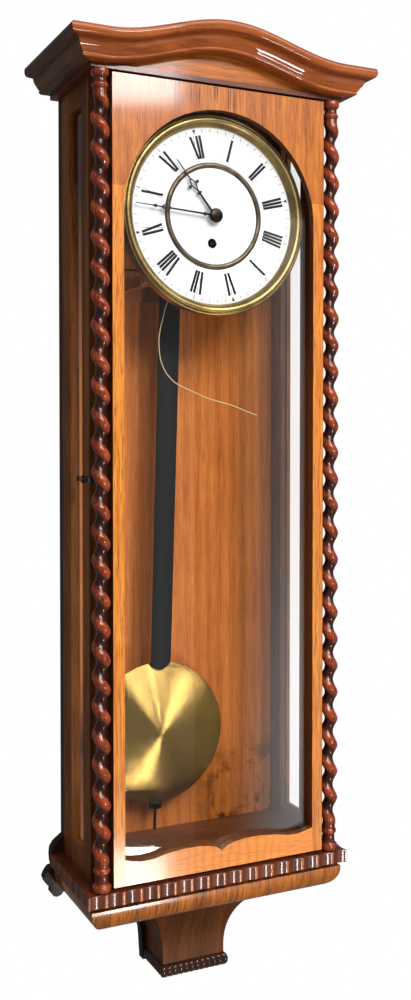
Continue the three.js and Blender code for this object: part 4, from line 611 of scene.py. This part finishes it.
def flat(bm, outline, front, thick, holes=()):
    """Fills an outline in x and z, and gives it thickness behind its front plane."""
    edges = [edge for path in (outline, *holes) for edge in loop(bm, [(x, front, z) for x, z in path])]
    made = bmesh.ops.triangle_fill(bm, use_beauty=True, use_dissolve=False, edges=edges)["geom"]
    faces = [item for item in made if isinstance(item, bmesh.types.BMFace)]
    moved = bmesh.ops.extrude_face_region(bm, geom=faces)["geom"]
    verts = [item for item in moved if isinstance(item, bmesh.types.BMVert)]
    bmesh.ops.translate(bm, verts=verts, vec=(0, thick * MM, 0))


def box(bm, low, high):
    """A block between two corners."""
    verts = bmesh.ops.create_cube(bm, size=MM)["verts"]
    bmesh.ops.scale(bm, verts=verts, vec=[b - a for a, b in zip(low, high)])
    bmesh.ops.translate(bm, verts=verts, vec=[(a + b) / 2 * MM for a, b in zip(low, high)])
    return verts


def arc(x, z, radius, count, start=0.0, end=math.tau):
    """Points of an arc, or of a whole circle without its last point."""
    whole = math.isclose(end - start, math.tau)
    steps = count if whole else count - 1
    return [(x + radius * math.cos(start + (end - start) * i / steps),
             z + radius * math.sin(start + (end - start) * i / steps)) for i in range(count)]


def finish_piece(name, bm, finish, body, node=None, sharp=35):
    """Makes a bmesh a piece that rides on a body and may stand in for a node of the frame."""
    bmesh.ops.remove_doubles(bm, verts=bm.verts, dist=WELD)
    bmesh.ops.recalc_face_normals(bm, faces=bm.faces)
    loose = sum(not edge.is_manifold for edge in bm.edges)
    mesh = bpy.data.meshes.new(name)
    bm.to_mesh(mesh)
    bm.free()
    mesh.shade_smooth()
    mesh.set_sharp_from_angle(angle=math.radians(sharp))
    mesh.materials.append(finishes[finish])
    piece = add_object(name, mesh)
    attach(piece, body)
    if node:
        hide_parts(node)
    print(name, len(mesh.polygons), "faces,", loose, "open edges,", finish)


print("mesh tools ready, vertices closer than", WELD, "m are welded")

# %% [markdown]
# ## Twist columns
# A twist column looks like a rope, but it is one round strand that winds about its own axis. Circles are
# stacked with their centres on a helix and bridged. The turned foot and cap are circles that stay on the
# axis. Both columns wind the same way, down to the right in front.

# %% Columns
COLUMN_LOW, COLUMN_HIGH = -616.7, 117.4
COLUMN_R, STRAND_R, PITCH = 8.7, 6.4, 26.2
RUN_IN_TURNS = 0.6
FOOT, CAP = 23, 18
FOOT_SHAPE = [(0, .9), (.03, .96), (.2, 1), (.235, .98), (.27, .84), (.34, .73), (.45, .69), (.66, .69),
              (.7, .72), (.74, .84), (.86, .86), (.9, .8), (.93, .73), (1, .73)]
CAP_SHAPE = [(0, .73), (.08, .73), (.12, .8), (.2, .88), (.28, .86), (.34, .74), (.45, .69), (.6, .7),
             (.66, .78), (.7, .92), (.78, .96), (.97, .96), (1, .93)]
COLUMN_SIDES, STEPS_A_TURN = 20, 18


def make_column(sign, side):
    bm = bmesh.new()
    x, y = sign * COLUMN_X, COLUMN_Y
    low, high = COLUMN_LOW + FOOT, COLUMN_HIGH - CAP
    throw, run_in = COLUMN_R - STRAND_R, STEPS_A_TURN * RUN_IN_TURNS
    rings = [ring(bm, (x, y, COLUMN_LOW + up * FOOT), out * COLUMN_R, COLUMN_SIDES) for up, out in FOOT_SHAPE]
    count = round((high - low) / PITCH * STEPS_A_TURN)
    for i in range(1, count):
        turn = -math.tau * (high - low) / PITCH * i / count
        taper = min(1, i / run_in, (count - i) / run_in) * throw
        centre = (x + taper * math.cos(turn), y + taper * math.sin(turn), low + (high - low) * i / count)
        rings.append(ring(bm, centre, STRAND_R, COLUMN_SIDES))
    rings += [ring(bm, (x, y, high + up * CAP), out * COLUMN_R, COLUMN_SIDES) for up, out in CAP_SHAPE]
    bridge(bm, rings)
    finish_piece("twist_column_" + side, bm, "column_wood", "door", "column_" + side, 50)


make_column(-1, "left")
make_column(1, "right")

# %% [markdown]
# ## Cornice
# The moulding has one profile: a round bead on top, a quirk, a long cove and a small bead below. At the
# front it climbs in a serpentine, so the profile is repeated along the crest line and bridged. At the
# corners it is cut at 45 degrees, which here is a last loop sheared by its own reach.

# %% Cornice
HALF_CASE = 120.5
CORNICE_FACE = -109.6
CORNICE_TOP, CORNICE_RISE, CORNICE_HEIGHT, CORNICE_REACH = 146.5, 22.5, 23.9, 34
CORNICE_SHAPE = [(.955, 0), (.975, .02), (.99, .06), (1, .115), (1, .17), (.995, .235), (.98, .3),
                 (.955, .345), (.93, .37), (.87, .382), (.8, .39), (.765, .4), (.745, .42), (.742, .46),
                 (.735, .5), (.722, .55), (.705, .6), (.678, .66), (.645, .72), (.615, .78), (.59, .83),
                 (.57, .85), (.565, .865), (.575, .885), (.58, .92), (.565, .96), (.54, .985), (.5, 1)]
FRONT_BACK, RETURN_BACK, MITRE_GAP = 4.5, 0.1, 0.14
CREST_STEPS = 96


def crest(x):
    """The height of the cornice's top edge: a hump with level ends."""
    share = min(abs(x) / HALF_CASE, 1)
    return CORNICE_TOP + CORNICE_RISE * math.cos(math.pi / 2 * share) ** 2


def moulding(inner):
    """The profile as reach and height, closed by a back face at the inner reach."""
    outline = [(reach * CORNICE_REACH, -down * CORNICE_HEIGHT) for reach, down in CORNICE_SHAPE]
    return [(inner, 0), *outline, (inner, -CORNICE_HEIGHT)]


def make_cornice():
    bm = bmesh.new()
    front = moulding(FRONT_BACK)
    loops = [loop(bm, [(-HALF_CASE - p, CORNICE_FACE - p, CORNICE_TOP + dz) for p, dz in front])]
    for i in range(CREST_STEPS + 1):
        x = -HALF_CASE + 2 * HALF_CASE * i / CREST_STEPS
        loops.append(loop(bm, [(x, CORNICE_FACE - p, crest(x) + dz) for p, dz in front]))
    loops.append(loop(bm, [(HALF_CASE + p, CORNICE_FACE - p, CORNICE_TOP + dz) for p, dz in front]))
    bridge(bm, loops)
    finish_piece("cornice_serpentine", bm, "cornice_wood", "case", "cornice_front", 40)
    for sign, side in ((-1, "left"), (1, "right")):
        bm = bmesh.new()
        end = [(sign * (HALF_CASE + p), CORNICE_FACE - p + MITRE_GAP, CORNICE_TOP + dz)
               for p, dz in moulding(RETURN_BACK)]
        bridge(bm, [loop(bm, end), loop(bm, [(x, 0, z) for x, _, z in end])])
        finish_piece("cornice_side_" + side, bm, "return_wood_painted_shade", "case", "cornice_return_" + side,
                     40)


make_cornice()

# %% [markdown]
# ## Base
# Under the case come a fluted band, a block with a rounded lower edge, a hollow-sided pendant and its reeded
# bead. The block is a cube whose lower edges are bevelled round. The band and the bead start as an outline
# with flutes or reeds, seen from above. The pendant is a loop that shrinks as a quarter circle does.

# %% Base
BOARD_FRONT = -10.1
BAND = {"half": 134.95, "front": -123.4, "low": -629.7, "high": -617.5, "flutes": 16, "deep": 1.2,
        "land": 0.03, "steps": 14, "edge_in": 0.5, "edge_up": 0.6}
OVOLO = {"half": 130.35, "front": -118.8, "top": -634.0, "neck": 4, "low": -657.4, "radius": 21.4,
         "neck_top": -629.8, "steps": 20}
PENDANT = {"half": 33.2, "front": -53, "out": 44, "neck": -721, "low": -729, "top": -657.5, "lip": 1.5,
           "steps": 30}
BEAD = {"half": 37, "front": -58, "thick": 12.4, "reeds": 12, "deep": 1.1, "round": 4.6, "gap": 0.1,
        "steps": 8, "rings": 12}


def scallops(start, end, count, deep, hollow, steps, land=0.0):
    """Points along a line with hollows or reeds cut into it, with a narrow land between hollows."""
    along = Vector(end) - Vector(start)
    inward = Vector((-along.y, along.x)).normalized()
    points = []
    for i in range(count * steps):
        share = min(max(((i % steps) / steps - land) / (1 - 2 * land), 0), 1)
        wave = math.sin(math.pi * share)
        cut = deep * (wave if hollow else 1 - wave)
        points.append(Vector(start) + along * (i / (count * steps)) + inward * cut)
    return [tuple(point) for point in points]


def scallop_plan(half, front, count, deep, hollow, steps, land=0.0):
    """Both ends and the front of a band, seen from above, with as many scallops on the ends as fit."""
    ends = round(count * (BOARD_FRONT - front) / (2 * half))
    corners = [(-half, BOARD_FRONT), (-half, front), (half, front), (half, BOARD_FRONT)]
    sides = [scallops(a, b, many, deep, hollow, steps, land)
             for a, b, many in zip(corners, corners[1:], (ends, count, ends))]
    return [*sides[0], *sides[1], *sides[2], corners[3]]


def three_sided(half, front, z):
    """A level rectangle that stands against the backboard."""
    return [(-half, BOARD_FRONT, z), (-half, front, z), (half, front, z), (half, BOARD_FRONT, z)]


def make_band():
    bm = bmesh.new()
    loops = []
    low, high, edge_in, edge_up = BAND["low"], BAND["high"], BAND["edge_in"], BAND["edge_up"]
    for inset, z in ((edge_in, low), (0, low + edge_up), (0, high - edge_up), (edge_in, high)):
        plan = scallop_plan(BAND["half"] - inset, BAND["front"] + inset, BAND["flutes"], BAND["deep"], True,
                            BAND["steps"], BAND["land"])
        loops.append(loop(bm, [(x, y, z) for x, y in plan]))
    bridge(bm, loops)
    finish_piece("fluted_edge", bm, "band_wood", "case", "fluted_band", 30)


def make_ovolo():
    bm = bmesh.new()
    half, front, neck = OVOLO["half"], OVOLO["front"], OVOLO["neck"]
    box(bm, (-half + neck, front + neck, OVOLO["top"] - 1), (half - neck, BOARD_FRONT, OVOLO["neck_top"]))
    verts = box(bm, (-half, front, OVOLO["low"]), (half, BOARD_FRONT, OVOLO["top"]))
    low = [v for v in verts if v.co.z < (OVOLO["low"] + 1) * MM]
    edges = [e for e in bm.edges if e.verts[0] in low and e.verts[1] in low
             and not all(v.co.y > (BOARD_FRONT - 1) * MM for v in e.verts)]
    bmesh.ops.bevel(bm, geom=edges, offset=OVOLO["radius"] * MM, segments=OVOLO["steps"], profile=0.5,
                    affect="EDGES", material=-1)
    finish_piece("ovolo_block", bm, "ovolo_veneer", "case", "ovolo_base", 40)


def make_pendant():
    bm = bmesh.new()
    half, front, out, steps = PENDANT["half"], PENDANT["front"], PENDANT["out"], PENDANT["steps"]
    loops = [loop(bm, three_sided(half, front, PENDANT["low"]))]
    for i in range(steps + 1):
        climb = math.sin(math.pi / 2 * i / steps)
        grow = out * (1 - math.sqrt(1 - climb * climb))
        height = PENDANT["neck"] + (PENDANT["top"] - PENDANT["neck"] - PENDANT["lip"]) * climb
        loops.append(loop(bm, three_sided(half + grow, front - grow, height)))
    loops.append(loop(bm, three_sided(half + out, front - out, PENDANT["top"])))
    bridge(bm, loops)
    finish_piece("pendant_scotia", bm, "scotia_veneer_painted_shade", "case", "pendant_block", 40)


def make_bead():
    bm = bmesh.new()
    radius = BEAD["thick"] / 2
    middle = PENDANT["low"] - BEAD["gap"] - radius
    loops = []
    for i in range(BEAD["rings"] + 1):
        angle = math.pi * (i / BEAD["rings"] - 0.5)
        inset = BEAD["round"] * (1 - math.cos(angle))
        plan = scallop_plan(BEAD["half"] - inset, BEAD["front"] + inset, BEAD["reeds"], BEAD["deep"], False,
                            BEAD["steps"])
        loops.append(loop(bm, [(x, y, middle + radius * math.sin(angle)) for x, y in plan]))
    bridge(bm, loops)
    finish_piece("reeded_bead", bm, "bead_wood", "case", "pendant_bead", 40)


make_band()
make_ovolo()
make_pendant()
make_bead()

# %% [markdown]
# ## Dial
# The chapter ring is enamel on copper with fired numerals. On the real dial the thin strokes have worn away
# to hairlines, and the ring has slipped round, so its twelve stands left of the top. Each stroke is a thin
# raised patch, which stays crisp at any distance where a painted pattern would blur.

# %% Numerals and minute track
DIAL_FACE = -99.0
RING_TURN = -15.0
RAISE, INK_SHARE = 0.06, 0.9
STROKE = {"low": 54.3, "high": 75.7, "thick": 2.45, "thin": 0.35, "fan": 1.12}
NUMERALS = ["XII", "I", "II", "III", "IIII", "V", "VI", "VII", "VIII", "IX", "X", "XI"]
# Each letter's width, and its strokes: lower end, upper end and weight.
LETTERS = {"I": (3.0, [(0, 0, "thick")]),
           "V": (5.0, [(0.3, -1.6, "thick"), (0.5, 1.6, "thin")]),
           "X": (5.2, [(1.7, -1.7, "thick"), (-1.7, 1.7, "thin")])}
# Half widths at the inner and the outer end, and the radii of both ends.
MARKS = {"quarter": (0.12, 1.5, 77.3, 81.4), "five": (0.3, 0.3, 77.4, 81.6),
         "minute": (0.26, 0.26, 78.2, 81.2)}


def strokes_of(word):
    """Strokes of a numeral: the places of their lower and upper ends, and their width."""
    at = -sum(LETTERS[letter][0] for letter in word) / 2
    strokes = []
    for letter in word:
        wide, lines = LETTERS[letter]
        middle = at + wide / 2
        strokes += [(middle + low, middle + high, STROKE[weight]) for low, high, weight in lines]
        at += wide
    return strokes


def dial_mark(bm, corners, angle):
    """A raised patch: corners are across and out from the dial's centre, turned clockwise by the angle."""
    turn = Matrix.Rotation(math.radians(angle), 3, "Y")
    edges = loop(bm, [turn @ Vector((across, DIAL_FACE - RAISE, out)) for across, out in corners])
    face = bmesh.ops.contextual_create(bm, geom=edges)["faces"]
    moved = bmesh.ops.extrude_face_region(bm, geom=face)["geom"]
    verts = [item for item in moved if isinstance(item, bmesh.types.BMVert)]
    bmesh.ops.translate(bm, verts=verts, vec=(0, RAISE * INK_SHARE * MM, 0))


def make_numerals():
    bm = bmesh.new()
    low, high, fan = STROKE["low"], STROKE["high"], STROKE["fan"]
    for hour, word in enumerate(NUMERALS):
        for bottom, top, wide in strokes_of(word):
            half = wide / 2
            dial_mark(bm, [(bottom / fan - half, low), (bottom / fan + half, low), (top * fan + half, high),
                           (top * fan - half, high)], hour * 30 + RING_TURN)
    finish_piece("dial_numerals", bm, "dial_ink", "case", None, 30)


def make_minute_track():
    dark, faint = bmesh.new(), bmesh.new()
    for minute in range(60):
        kind = "minute" if minute % 5 else "five" if minute % 15 else "quarter"
        inner, outer, low, high = MARKS[kind]
        dial_mark(faint if kind == "minute" else dark,
                  [(-inner, low), (inner, low), (outer, high), (-outer, high)], minute * 6 + RING_TURN)
    finish_piece("five_minute_darts", dark, "dial_ink", "case", None, 30)
    finish_piece("minute_track", faint, "faint_ink", "case", None, 30)


make_numerals()
make_minute_track()

# %% [markdown]
# ## Enamel ring, inner ring and bezel
# All three are turned, so each is one outline spun round the dial's axis. The bezel has a fine bead near its
# outer edge and slopes in towards the enamel, which gives its bright and dark bands.

# %% Rings
# Radius, and depth behind the dial's face.
ENAMEL_OUTLINE = [(47.8, 2), (84, 2), (84, 0.5), (83.7, 0), (48.3, 0), (47.8, 0.4)]
INNER_RING = {"inner": 45.2, "outer": 50.2, "seat": DIAL_FACE - 0.1, "swell": 1.5}
BEZEL = {"inner": 83, "outer": 94, "front": -106, "seat": -95.5, "deep": 7}
# The bezel has a groove over the dial's edge, a visible slope from the outer edge in, and a lip.
BEZEL_GROOVE = [(84.4, -97.1), (90.4, -97.1), (90.4, BEZEL["seat"]), (BEZEL["outer"], BEZEL["seat"])]
BEZEL_SHAPE = [(0, .3), (.02, .22), (.07, .15), (.16, .12), (.2, .16), (.22, .22), (.25, .16), (.3, .06),
               (.38, .01), (.48, 0), (.58, .03), (.68, .12), (.78, .28), (.86, .45), (.93, .62), (.98, .74),
               (1, .8)]
BEZEL_LIP = [(BEZEL["inner"], -99.1), (84.4, -99.1)]
WIDE_SIDES, INNER_SIDES, SWELL_STEPS = 160, 128, 12


def make_rings():
    bm = bmesh.new()
    spun(bm, [(radius, DIAL_FACE + depth) for radius, depth in ENAMEL_OUTLINE], WIDE_SIDES, closed=True)
    finish_piece("enamel_ring", bm, "enamel", "case", "chapter_ring", 40)
    bm = bmesh.new()
    inner, outer, seat = INNER_RING["inner"], INNER_RING["outer"], INNER_RING["seat"]
    angles = [math.pi * i / SWELL_STEPS for i in range(1, SWELL_STEPS)]
    top = [((inner + outer) / 2 + (outer - inner) / 2 * math.cos(angle),
            seat - INNER_RING["swell"] * math.sin(angle)) for angle in angles]
    spun(bm, [(inner, seat), (outer, seat), *top], INNER_SIDES, closed=True)
    finish_piece("dial_inner_ring", bm, "ring_brass", "case", "inner_ring", 40)
    bm = bmesh.new()
    rim = [(BEZEL["outer"] - a * (BEZEL["outer"] - BEZEL["inner"]), BEZEL["front"] + b * BEZEL["deep"])
           for a, b in BEZEL_SHAPE]
    spun(bm, [*BEZEL_GROOVE, *rim, *BEZEL_LIP], WIDE_SIDES, closed=True)
    finish_piece("bezel_rim", bm, "bezel_brass", "case", "bezel", 35)


make_rings()

# %% [markdown]
# ## Hands
# Thin blued hands: the hour hand opens into a diamond with a ball on each side, and the minute hand has
# crosses and beads along it. They are sawn from sheet, so each is flat outlines with thickness, made
# pointing at twelve and then turned to the time that the clock shows.

# %% Hands
HOUR_ANGLE, MINUTE_ANGLE = 321.5, 274.0
HOUR_FRONT, MINUTE_FRONT, NUT_BASE = DIAL_FACE - 3.3, DIAL_FACE - 5.3, DIAL_FACE - 5.4
HAND_THICK, LAYER_STEP = 0.7, 0.01
# Diamonds are place, half width and half height. Beads are centre and radius. Hubs have a count of sides too.
MINUTE_BLADE = [(1.0, 0), (0.85, 11), (0.75, 44), (0.55, 60), (0.32, 81.5)]
MINUTE_DIAMONDS = [(61.8, 1.7, 3.2), (11.3, 2.1, 2.8), (50.9, 1.1, 3.6)]
MINUTE_BEADS = [(0, 61.8, 1.5), (2.6, 50.9, 1.4), (-2.6, 50.9, 1.4), (0, 47.2, 1.4), (0, 54.6, 1.2),
                (1.6, 48.6, 0.8), (-1.6, 48.6, 0.8), (1.6, 53.2, 0.8), (-1.6, 53.2, 0.8)]
MINUTE_BAR = [(2.6, 51.35), (-2.6, 51.35), (-2.6, 50.45), (2.6, 50.45)]
MINUTE_HUB, HOUR_HUB, HOUR_HOLE = (0, 0, 5.4, 36), (0, 0, 5, 32), (0, 0, 2.1, 24)
HOUR_SHANK = [(1.2, 4), (0.95, 22), (0.8, 29.5), (-0.8, 29.5), (-0.95, 22), (-1.2, 4)]
HOUR_TIP = [(0.7, 42.4), (0.34, 62.8), (-0.34, 62.8), (-0.7, 42.4)]
HOUR_DIAMOND, HOUR_WINDOW = (35.6, 3.4, 7.8), (35.6, 2.2, 5.0)
HOUR_BEADS = [(0, 25.8, 1.1), (1.5, 25.8, 1.1), (-1.5, 25.8, 1.1)]
SIDE_BALL = {"near": 2.9, "far": 4.7, "at": 35.4, "radius": 1.6, "arm": 0.5}
BEAD_SIDES, SMALL_BEAD_SIDES, NUT_SIDES = 18, 16, 36
# The nut as radius and height.
NUT_SHAPE = [(0, 0), (6.8, 0), (6.8, 0.5), (6.4, 1.0), (5.4, 1.5), (3.6, 1.85), (2.4, 1.95), (2.2, 1.5),
             (1.4, 1.5), (1.2, 1.9), (0.8, 2.0), (0, 2.0)]


def diamond(at, wide, tall):
    return [(wide, at), (0, at + tall), (-wide, at), (0, at - tall)]


def leaf(bm, outline, front, layer=0, holes=()):
    """One flat part of a hand. Higher layers are a little thinner on both faces, so that none coincide."""
    inset = layer * LAYER_STEP
    flat(bm, outline, front + inset, HAND_THICK - 2 * inset, holes)


def turn_to(bm, angle):
    bmesh.ops.rotate(bm, verts=bm.verts, cent=(0, 0, 0), matrix=Matrix.Rotation(math.radians(angle), 3, "Y"))


def make_minute_hand():
    bm = bmesh.new()
    leaf(bm, MINUTE_BLADE + [(-x, z) for x, z in reversed(MINUTE_BLADE)], MINUTE_FRONT)
    for shape in MINUTE_DIAMONDS:
        leaf(bm, diamond(*shape), MINUTE_FRONT, 2)
    for x, z, radius in MINUTE_BEADS:
        leaf(bm, arc(x, z, radius, BEAD_SIDES), MINUTE_FRONT, 1)
    leaf(bm, MINUTE_BAR, MINUTE_FRONT, 3)
    leaf(bm, arc(*MINUTE_HUB), MINUTE_FRONT)
    turn_to(bm, MINUTE_ANGLE)
    finish_piece("minute_pointer", bm, "blued_steel", "minute_hand", "minute_hand", 40)


def make_hour_hand():
    bm = bmesh.new()
    leaf(bm, HOUR_SHANK, HOUR_FRONT)
    leaf(bm, diamond(*HOUR_DIAMOND), HOUR_FRONT, 0, [diamond(*HOUR_WINDOW)])
    leaf(bm, HOUR_TIP, HOUR_FRONT, 1)
    at, arm = SIDE_BALL["at"], SIDE_BALL["arm"]
    for sign in (-1, 1):
        near, far = sign * SIDE_BALL["near"], sign * SIDE_BALL["far"]
        leaf(bm, arc(far, at, SIDE_BALL["radius"], BEAD_SIDES), HOUR_FRONT, 1)
        leaf(bm, [(near, at - arm), (far, at - arm), (far, at + arm), (near, at + arm)], HOUR_FRONT, 2)
    for x, z, radius in HOUR_BEADS:
        leaf(bm, arc(x, z, radius, SMALL_BEAD_SIDES), HOUR_FRONT, 3)
    leaf(bm, arc(*HOUR_HUB), HOUR_FRONT, 0, [arc(*HOUR_HOLE)])
    turn_to(bm, HOUR_ANGLE)
    finish_piece("hour_pointer", bm, "blued_steel", "hour_hand", "hour_hand", 40)


def make_hand_cap():
    """A domed brass nut with the end of the arbor in its middle."""
    bm = bmesh.new()
    spun(bm, [(radius, NUT_BASE - height) for radius, height in NUT_SHAPE], NUT_SIDES)
    finish_piece("hand_cap", bm, "nut_brass", "minute_hand", "hand_nut", 40)


make_minute_hand()
make_hour_hand()
make_hand_cap()

# %% [markdown]
# ## Pendulum
# The bob is a brass lens turned on a lathe. The fine circular scratches spread light along the radii, which
# shows as bright wedges that meet in the middle. Thousands of real grooves would be too many faces, so the
# finish tilts the surface to and fro along the radius instead, by a noise that only knows the radius.

# %% Bob finish
PIVOT = (-15.0, -34.0, 48.58)
LEAN = math.radians(1.68)
BOB = {"down": 551.3, "radius": 70, "half": 12, "rim": 1.4, "steps": 30, "sides": 128}
GROOVE_TILT = 0.9
BOB_X = PIVOT[0] - BOB["down"] * math.sin(LEAN)
BOB_Z = PIVOT[2] - BOB["down"] * math.cos(LEAN)

made = Finish("bob_brass")
x, _, z = made.split()
across, up = x - BOB_X * MM, z - BOB_Z * MM
radius = (across * across + up * up).math("SQRT")
outward = made.join(across / radius, 0.0, up / radius)
ripple = made.node("ShaderNodeTexWhiteNoise", {"noise_dimensions": "1D"}, {"W": radius * 1000}) - 0.5
surface = made.node("ShaderNodeNewGeometry", out="Normal")
tilted = surface + outward * (made.join(ripple, ripple, ripple) * GROOVE_TILT)
stain = made.noise(made.place, 24, 4, 0.6, 0.3).rise(0.45, 0.8)
made.put(color=made.mix(stain * 0.4, tone(172, 142, 80), tone(138, 108, 58)), metal=1.0, rough=0.15,
         normal=made.node("ShaderNodeVectorMath", {"operation": "NORMALIZE"}, {0: tilted}))
print("bob centre", round(BOB_X, 2), round(BOB_Z, 2))

# %% [markdown]
# ## Bob and rod
# The rod is a black lath whose rounded end lies over the top of the bob. Its back is pared thinner towards
# that end, so that it clears the lens when the rating nut lifts the bob. One block joins it to the spring and
# one to the stem, which the bob slides on.

# %% Bob and rod
ROD = {"half": 10.8, "back": -35.6, "front": -39.2, "end": -488, "top": -12, "pared": 2.9, "edge_in": 0.4,
       "edge_deep": 0.25, "end_points": 25}
STEM_SIDES = 24
STEM_OUTLINE = [(0, -649), (1.2, -649), (1.5, -648.4), (1.5, -459.3), (0, -459.3)]
SPRING_BLOCK = ((-5, -39.2, -20), (5, -28.5, -12))
STEM_BLOCK = ((-5, -37.4, -475), (5, -33.2, -459.3))


def hang(bm):
    """Turns a piece built below the pivot to the pendulum's lean and puts it in its place."""
    bmesh.ops.rotate(bm, verts=bm.verts, cent=(0, 0, 0), matrix=Matrix.Rotation(LEAN, 3, "Y"))
    bmesh.ops.translate(bm, verts=bm.verts, vec=Vector((PIVOT[0], 0, PIVOT[2])) * MM)


def make_bob():
    bm = bmesh.new()
    crown = BOB["half"] - BOB["rim"]
    sphere = (BOB["radius"] ** 2 + crown ** 2) / (2 * crown)
    radii = [BOB["radius"] * i / BOB["steps"] for i in range(BOB["steps"] + 1)]
    face = [(radius, BOB["rim"] + crown - sphere + math.sqrt(sphere ** 2 - radius ** 2)) for radius in radii]
    spun(bm, [(r, -h) for r, h in face] + list(reversed(face)), BOB["sides"], "Y",
         (0, PIVOT[1], -BOB["down"]))
    hang(bm)
    finish_piece("bob_lens", bm, "bob_brass", "bob", "bob", 30)


def rod_back(z):
    """Where the lath's back lies at a height below the pivot."""
    return ROD["back"] - ROD["pared"] * (ROD["top"] - z) / (ROD["top"] - ROD["end"])


def make_rod():
    bm = bmesh.new()
    half = ROD["half"]
    end = arc(0, ROD["end"] + half, half, ROD["end_points"], 0.0, -math.pi)
    outline = [(half, ROD["top"]), *end, (-half, ROD["top"])]
    narrow, deep = 1 - ROD["edge_in"] / half, ROD["edge_deep"]
    loops = []
    for share, shift in ((narrow, 0), (1, -deep)):
        loops.append(loop(bm, [(x * share, rod_back(z) + shift, z) for x, z in outline]))
    for share, shift in ((1, deep), (narrow, 0)):
        loops.append(loop(bm, [(x * share, ROD["front"] + shift, z) for x, z in outline]))
    bridge(bm, loops)
    spun(bm, STEM_OUTLINE, STEM_SIDES, "Z", (0, PIVOT[1], 0))
    box(bm, *SPRING_BLOCK)
    box(bm, *STEM_BLOCK)
    hang(bm)
    finish_piece("pendulum_stick", bm, "black_lacquer", "pendulum", "pendulum_rod", 40)


make_bob()
make_rod()

# %% [markdown]
# ## Nodes that keep their CAD shape
# Boards, panes, plates, wheels and screws are already the right shape. Each only takes its finish.

# %% Nodes of the frame
NODE_FINISHES = {
    "back_wood": ["backboard"],
    "plain_wood": ["dust_board"],
    "inside_wood": ["floor_board"],
    "side_wood": ["left_side_frame", "right_side_frame"],
    "pane_glass": ["left_side_pane", "right_side_pane", "door_pane"],
    "soffit_wood_painted_shade": ["soffit_board"],
    "frieze_veneer": ["frieze_board"],
    "panel_veneer": ["door_top_panel"],
    "stile_veneer": ["door_stile_left", "door_stile_right"],
    "rail_veneer": ["door_bottom_rail"],
    "enamel": ["dial_centre"],
    "iron": ["hanger_plate", "latch_hook"],
    "brown_iron": ["movement_bracket"],
    "drum_brass": ["drum"],
    "bright_steel": ["rail_screw_left", "rail_screw_right", "hook_screw", "hook_stud", "anchor",
                     "suspension_spring"],
    "brass": ["dial_plate", "back_plate", "front_plate", "suspension_cock", "upper_hinge_case_leaf",
              "lower_hinge_case_leaf", "upper_hinge_door_leaf", "lower_hinge_door_leaf", "great_wheel",
              "centre_wheel", "third_wheel", "escape_wheel", "cannon_pinion", "minute_wheel", "hour_wheel"],
    "nut_brass": ["rating_nut"],
}
for finish, names in NODE_FINISHES.items():
    for name in names:
        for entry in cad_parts[name].material_slots:
            entry.material = finishes[finish]
print(sum(map(len, NODE_FINISHES.values())), "nodes finished")
